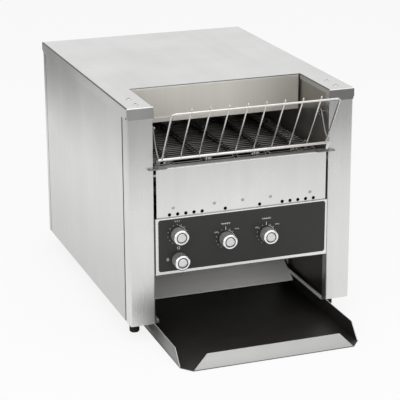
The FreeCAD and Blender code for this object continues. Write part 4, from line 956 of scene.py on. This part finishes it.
HEAD_SHAPE = [(0.5, -1.0), (0.5, 0.0), (1.0, 0.0), (1.0, 0.35), (0.9, 0.75), (0.65, 0.97)]
SCREW_RADIUS = 4.5
SCREW_HEIGHT = 1.0
SLOT_HALF_WIDTH = 0.32
COVER_SCREW_X = 164.0
COVER_SCREW_YS = (21.5, 55.4)
BACK_SCREW_X = 177.0
BACK_SCREW_SHARES = (0.05, 0.35, 0.65, 0.92)
RIVET_RADIUS = 2.6
RIVET_HEIGHT = 0.8
RIVET_RISE = 14.5
RIVET_SHARES = (-0.394, -0.162, 0.0, 0.162, 0.394)


def head(shape, spot, out, radius, height, ending, segments):
    """A round head, domed towards a direction, that ends in its own last rings; its shank starts 1 mm below."""
    profile = [(radius * share, height * rise if rise > 0 else rise, 0) for share, rise in HEAD_SHAPE]
    shape.lathe(spot, out, profile + ending, segments)


def screw_head(shape, spot, out):
    """A screw's head with a cross recess, drawn as a dark cross of painted shade."""
    spot = Vector(spot)
    ending = [(SCREW_RADIUS * 0.5, SCREW_HEIGHT, 0), (SCREW_RADIUS * 0.36, SCREW_HEIGHT, 0),
              (SCREW_RADIUS * 0.24, SCREW_HEIGHT * 0.2, 1), (0.05, SCREW_HEIGHT * 0.05, 1)]
    head(shape, spot, out, SCREW_RADIUS, SCREW_HEIGHT, ending, 48)
    # Painted shade: the recess is not cut; two raised bars and the dip at the centre take the dark groove look.
    side = out.orthogonal().normalized()
    for turn in (side, out.cross(side)):
        wing = out.cross(turn) * SLOT_HALF_WIDTH
        reach = turn * (SCREW_RADIUS * 0.6)
        low = spot + out * (SCREW_HEIGHT * 0.6)
        shape.prism([low + reach + wing, low - reach + wing, low - reach - wing, low + reach - wing],
                    out * (SCREW_HEIGHT * 0.42), 1)


def fixings():
    screws = Shape()
    rivets = Shape()
    for side in (-1, 1):
        for y in COVER_SCREW_YS:
            screw_head(screws, (side * COVER_SCREW_X, y, CABINET_HEIGHT), UP)
        for share in BACK_SCREW_SHARES:
            screw_head(screws, (side * BACK_SCREW_X, CABINET_DEPTH, share * CABINET_HEIGHT), BACK)
    ending = [(RIVET_RADIUS * 0.25, RIVET_HEIGHT, 0), (0.05, RIVET_HEIGHT, 0)]
    for share in RIVET_SHARES:
        spot = (share * RECESS, 0, CONTROL_TOP + RIVET_RISE)
        head(rivets, spot, -BACK, RIVET_RADIUS, RIVET_HEIGHT, ending, 28)
    screws.make("screw_heads", ["screw", "groove"], "cabinet", ["case_screws"], 30.0)
    rivets.make("rivet_heads", ["rivet"], "cabinet", (), 30.0)


fixings()


# Feet: ribbed rubber on a washer, as (radius, height, look)

FOOT_END_INSET = 41.0
FOOT_PLACES = ((166.0, FOOT_END_INSET), (156.0, CABINET_DEPTH - FOOT_END_INSET))
FOOT_PROFILE = [(4.0, 0.0, 0), (6.7, 0.0, 0), (8.0, 1.6, 0), (8.0, 6.5, 0), (7.6, 7.2, 0), (7.6, 8.2, 0),
                (8.0, 8.9, 0), (8.0, 19.5, 0), (7.4, 21.5, 0), (6.2, 23.4, 0), (6.0, 23.5, 1),
                (7.2, 23.6, 1), (7.2, FOOT_HEIGHT, 1), (2.0, FOOT_HEIGHT, 1)]


def feet():
    shape = Shape()
    for x, y in FOOT_PLACES:
        for side in (-1, 1):
            shape.lathe((side * x, y, -FOOT_HEIGHT), UP, FOOT_PROFILE, 40)
    shape.make("foot_bodies", ["rubber", "screw"], "cabinet", ["feet"], 35.0)


feet()


# Camera, worked out from the photograph's lines: angles in degrees, its place in metres, and its focal length
# in the picture's pixels

CAMERA_TURN = -19.889
CAMERA_LIFT = 18.166
CAMERA_ROLL = -0.277
CAMERA_PLACE = (-0.8350, -2.3012, 0.9565)
FOCAL_PIXELS = 1547.57
PICTURE_PIXELS = 400
SENSOR_WIDTH = 36.0


def camera():
    turn = math.radians(CAMERA_TURN)
    lift = math.radians(CAMERA_LIFT)
    roll = math.radians(CAMERA_ROLL)
    right = Vector((math.cos(turn), math.sin(turn), 0))
    back = Vector((math.sin(turn) * math.cos(lift), -math.cos(turn) * math.cos(lift), math.sin(lift)))
    up = back.cross(right)
    across = right * math.cos(roll) + up * math.sin(roll)
    upward = up * math.cos(roll) - right * math.sin(roll)
    data = bpy.data.cameras.new("camera")
    data.sensor_width = SENSOR_WIDTH
    data.sensor_fit = "HORIZONTAL"
    data.lens = FOCAL_PIXELS / PICTURE_PIXELS * SENSOR_WIDTH
    data.clip_end = 50.0
    item = bpy.data.objects.new("camera", data)
    bpy.context.scene.collection.objects.link(item)
    matrix = Matrix((across, upward, back)).transposed().to_4x4()
    matrix.translation = Vector(CAMERA_PLACE)
    item.matrix_world = matrix
    bpy.context.scene.camera = item


camera()


# Floor, world and lamps, in metres

FLOOR_HALF = 6.0
FLOOR_DROP = 0.0002
LAMPS = {
    "softbox_left": ((-1.9, -1.2, 1.5), (0, 0, 0.2), (2.3, 2.0), 15),
    "softbox_top": ((0.2, -0.3, 2.2), (0, 0, 0.3), (1.8, 1.8), 12),
    "softbox_front": ((0.9, -2.4, 1.7), (0, 0, 0.2), (2.6, 1.8), 5),
    "softbox_low": ((-0.45, -2.1, 0.50), (0, -0.1, 0.08), (4.4, 0.92), 12),
}


def is_plain_ray(tree):
    """One where a ray comes from the camera, a glossy surface or through glass."""
    path = tree.nodes.new("ShaderNodeLightPath")
    total = join(tree, "MAXIMUM", path.outputs["Is Camera Ray"], path.outputs["Is Glossy Ray"])
    return join(tree, "MAXIMUM", total, path.outputs["Is Transmission Ray"])


def floor():
    """White paper that ends in a darker floor in front of the object and far to its left."""
    shape = bpy.data.meshes.new("floor")
    corners = [(x * FLOOR_HALF, y * FLOOR_HALF, -FLOOR_DROP) for x, y in ((-1, -1), (1, -1), (1, 1), (-1, 1))]
    shape.from_pydata(corners, [], [(0, 1, 2, 3)])
    item = bpy.data.objects.new("floor", shape)
    bpy.context.scene.collection.objects.link(item)
    mat, tree, shader, coord = new_material("floor_paper")
    front = smooth_step(tree, run_along(tree, coord, (0.0, -1.0, 0.0)), 0.75, 1.55, 1.0, 0.28)
    left = smooth_step(tree, run_along(tree, coord, (-0.94, 0.34, 0.0)), 0.75, 1.50, 1.0, 0.45)
    tone = join(tree, "MULTIPLY", front, left)
    paper = blend_colours(tree, tone, (0.0, 0.0, 0.0), (0.80, 0.80, 0.80))
    tree.links.new(paper, shader.inputs["Base Color"])
    shader.inputs["Roughness"].default_value = 0.9
    shader.inputs["Specular IOR Level"].default_value = 0.1
    glow = tree.nodes.new("ShaderNodeEmission")
    tree.links.new(blend_colours(tree, tone, (0.0, 0.0, 0.0), (1.0, 1.0, 1.0)), glow.inputs["Color"])
    glow.inputs["Strength"].default_value = 1.0
    mixer = tree.nodes.new("ShaderNodeMixShader")
    share = join(tree, "MULTIPLY", is_plain_ray(tree), 0.86)
    tree.links.new(share, mixer.inputs["Fac"])
    tree.links.new(shader.outputs["BSDF"], mixer.inputs[1])
    tree.links.new(glow.outputs["Emission"], mixer.inputs[2])
    tree.links.new(mixer.outputs["Shader"], tree.nodes["Material Output"].inputs["Surface"])
    shape.materials.append(mat)


def world():
    """A pale studio, bright overhead and behind the object, darker near the horizon elsewhere."""
    scene_world = bpy.data.worlds.new("studio")
    bpy.context.scene.world = scene_world
    scene_world.use_nodes = True
    tree = scene_world.node_tree
    coord = tree.nodes.new("ShaderNodeTexCoord").outputs["Generated"]
    behind = smooth_step(tree, run_along(tree, coord, (0.34, 0.94, 0.0)), 0.70, 0.95, 0.0, 1.0)
    high = smooth_step(tree, run_along(tree, coord, (0.0, 0.0, 1.0)), 0.05, 0.50, 0.0, 1.0)
    tone = join(tree, "MAXIMUM", behind, high)
    colour = blend_colours(tree, tone, (0.30, 0.30, 0.30), (1.0, 1.0, 1.0))
    background = tree.nodes["Background"]
    tree.links.new(colour, background.inputs["Color"])
    background.inputs["Strength"].default_value = 0.66
    white = tree.nodes.new("ShaderNodeBackground")
    tree.links.new(colour, white.inputs["Color"])
    white.inputs["Strength"].default_value = 1.0
    mixer = tree.nodes.new("ShaderNodeMixShader")
    tree.links.new(is_plain_ray(tree), mixer.inputs["Fac"])
    tree.links.new(background.outputs["Background"], mixer.inputs[1])
    tree.links.new(white.outputs["Background"], mixer.inputs[2])
    tree.links.new(mixer.outputs["Shader"], tree.nodes["World Output"].inputs["Surface"])


def lamp(name, spot, target, size, power):
    """A rectangular softbox at a spot, turned towards a target."""
    data = bpy.data.lights.new(name, "AREA")
    data.shape = "RECTANGLE"
    data.size = size[0]
    data.size_y = size[1]
    data.energy = power
    item = bpy.data.objects.new(name, data)
    item.location = spot
    item.rotation_euler = (Vector(target) - Vector(spot)).to_track_quat("-Z", "Y").to_euler()
    bpy.context.scene.collection.objects.link(item)


floor()
world()
for lamp_name, values in LAMPS.items():
    lamp(lamp_name, *values)

bpy.context.scene.view_settings.view_transform = "Standard"
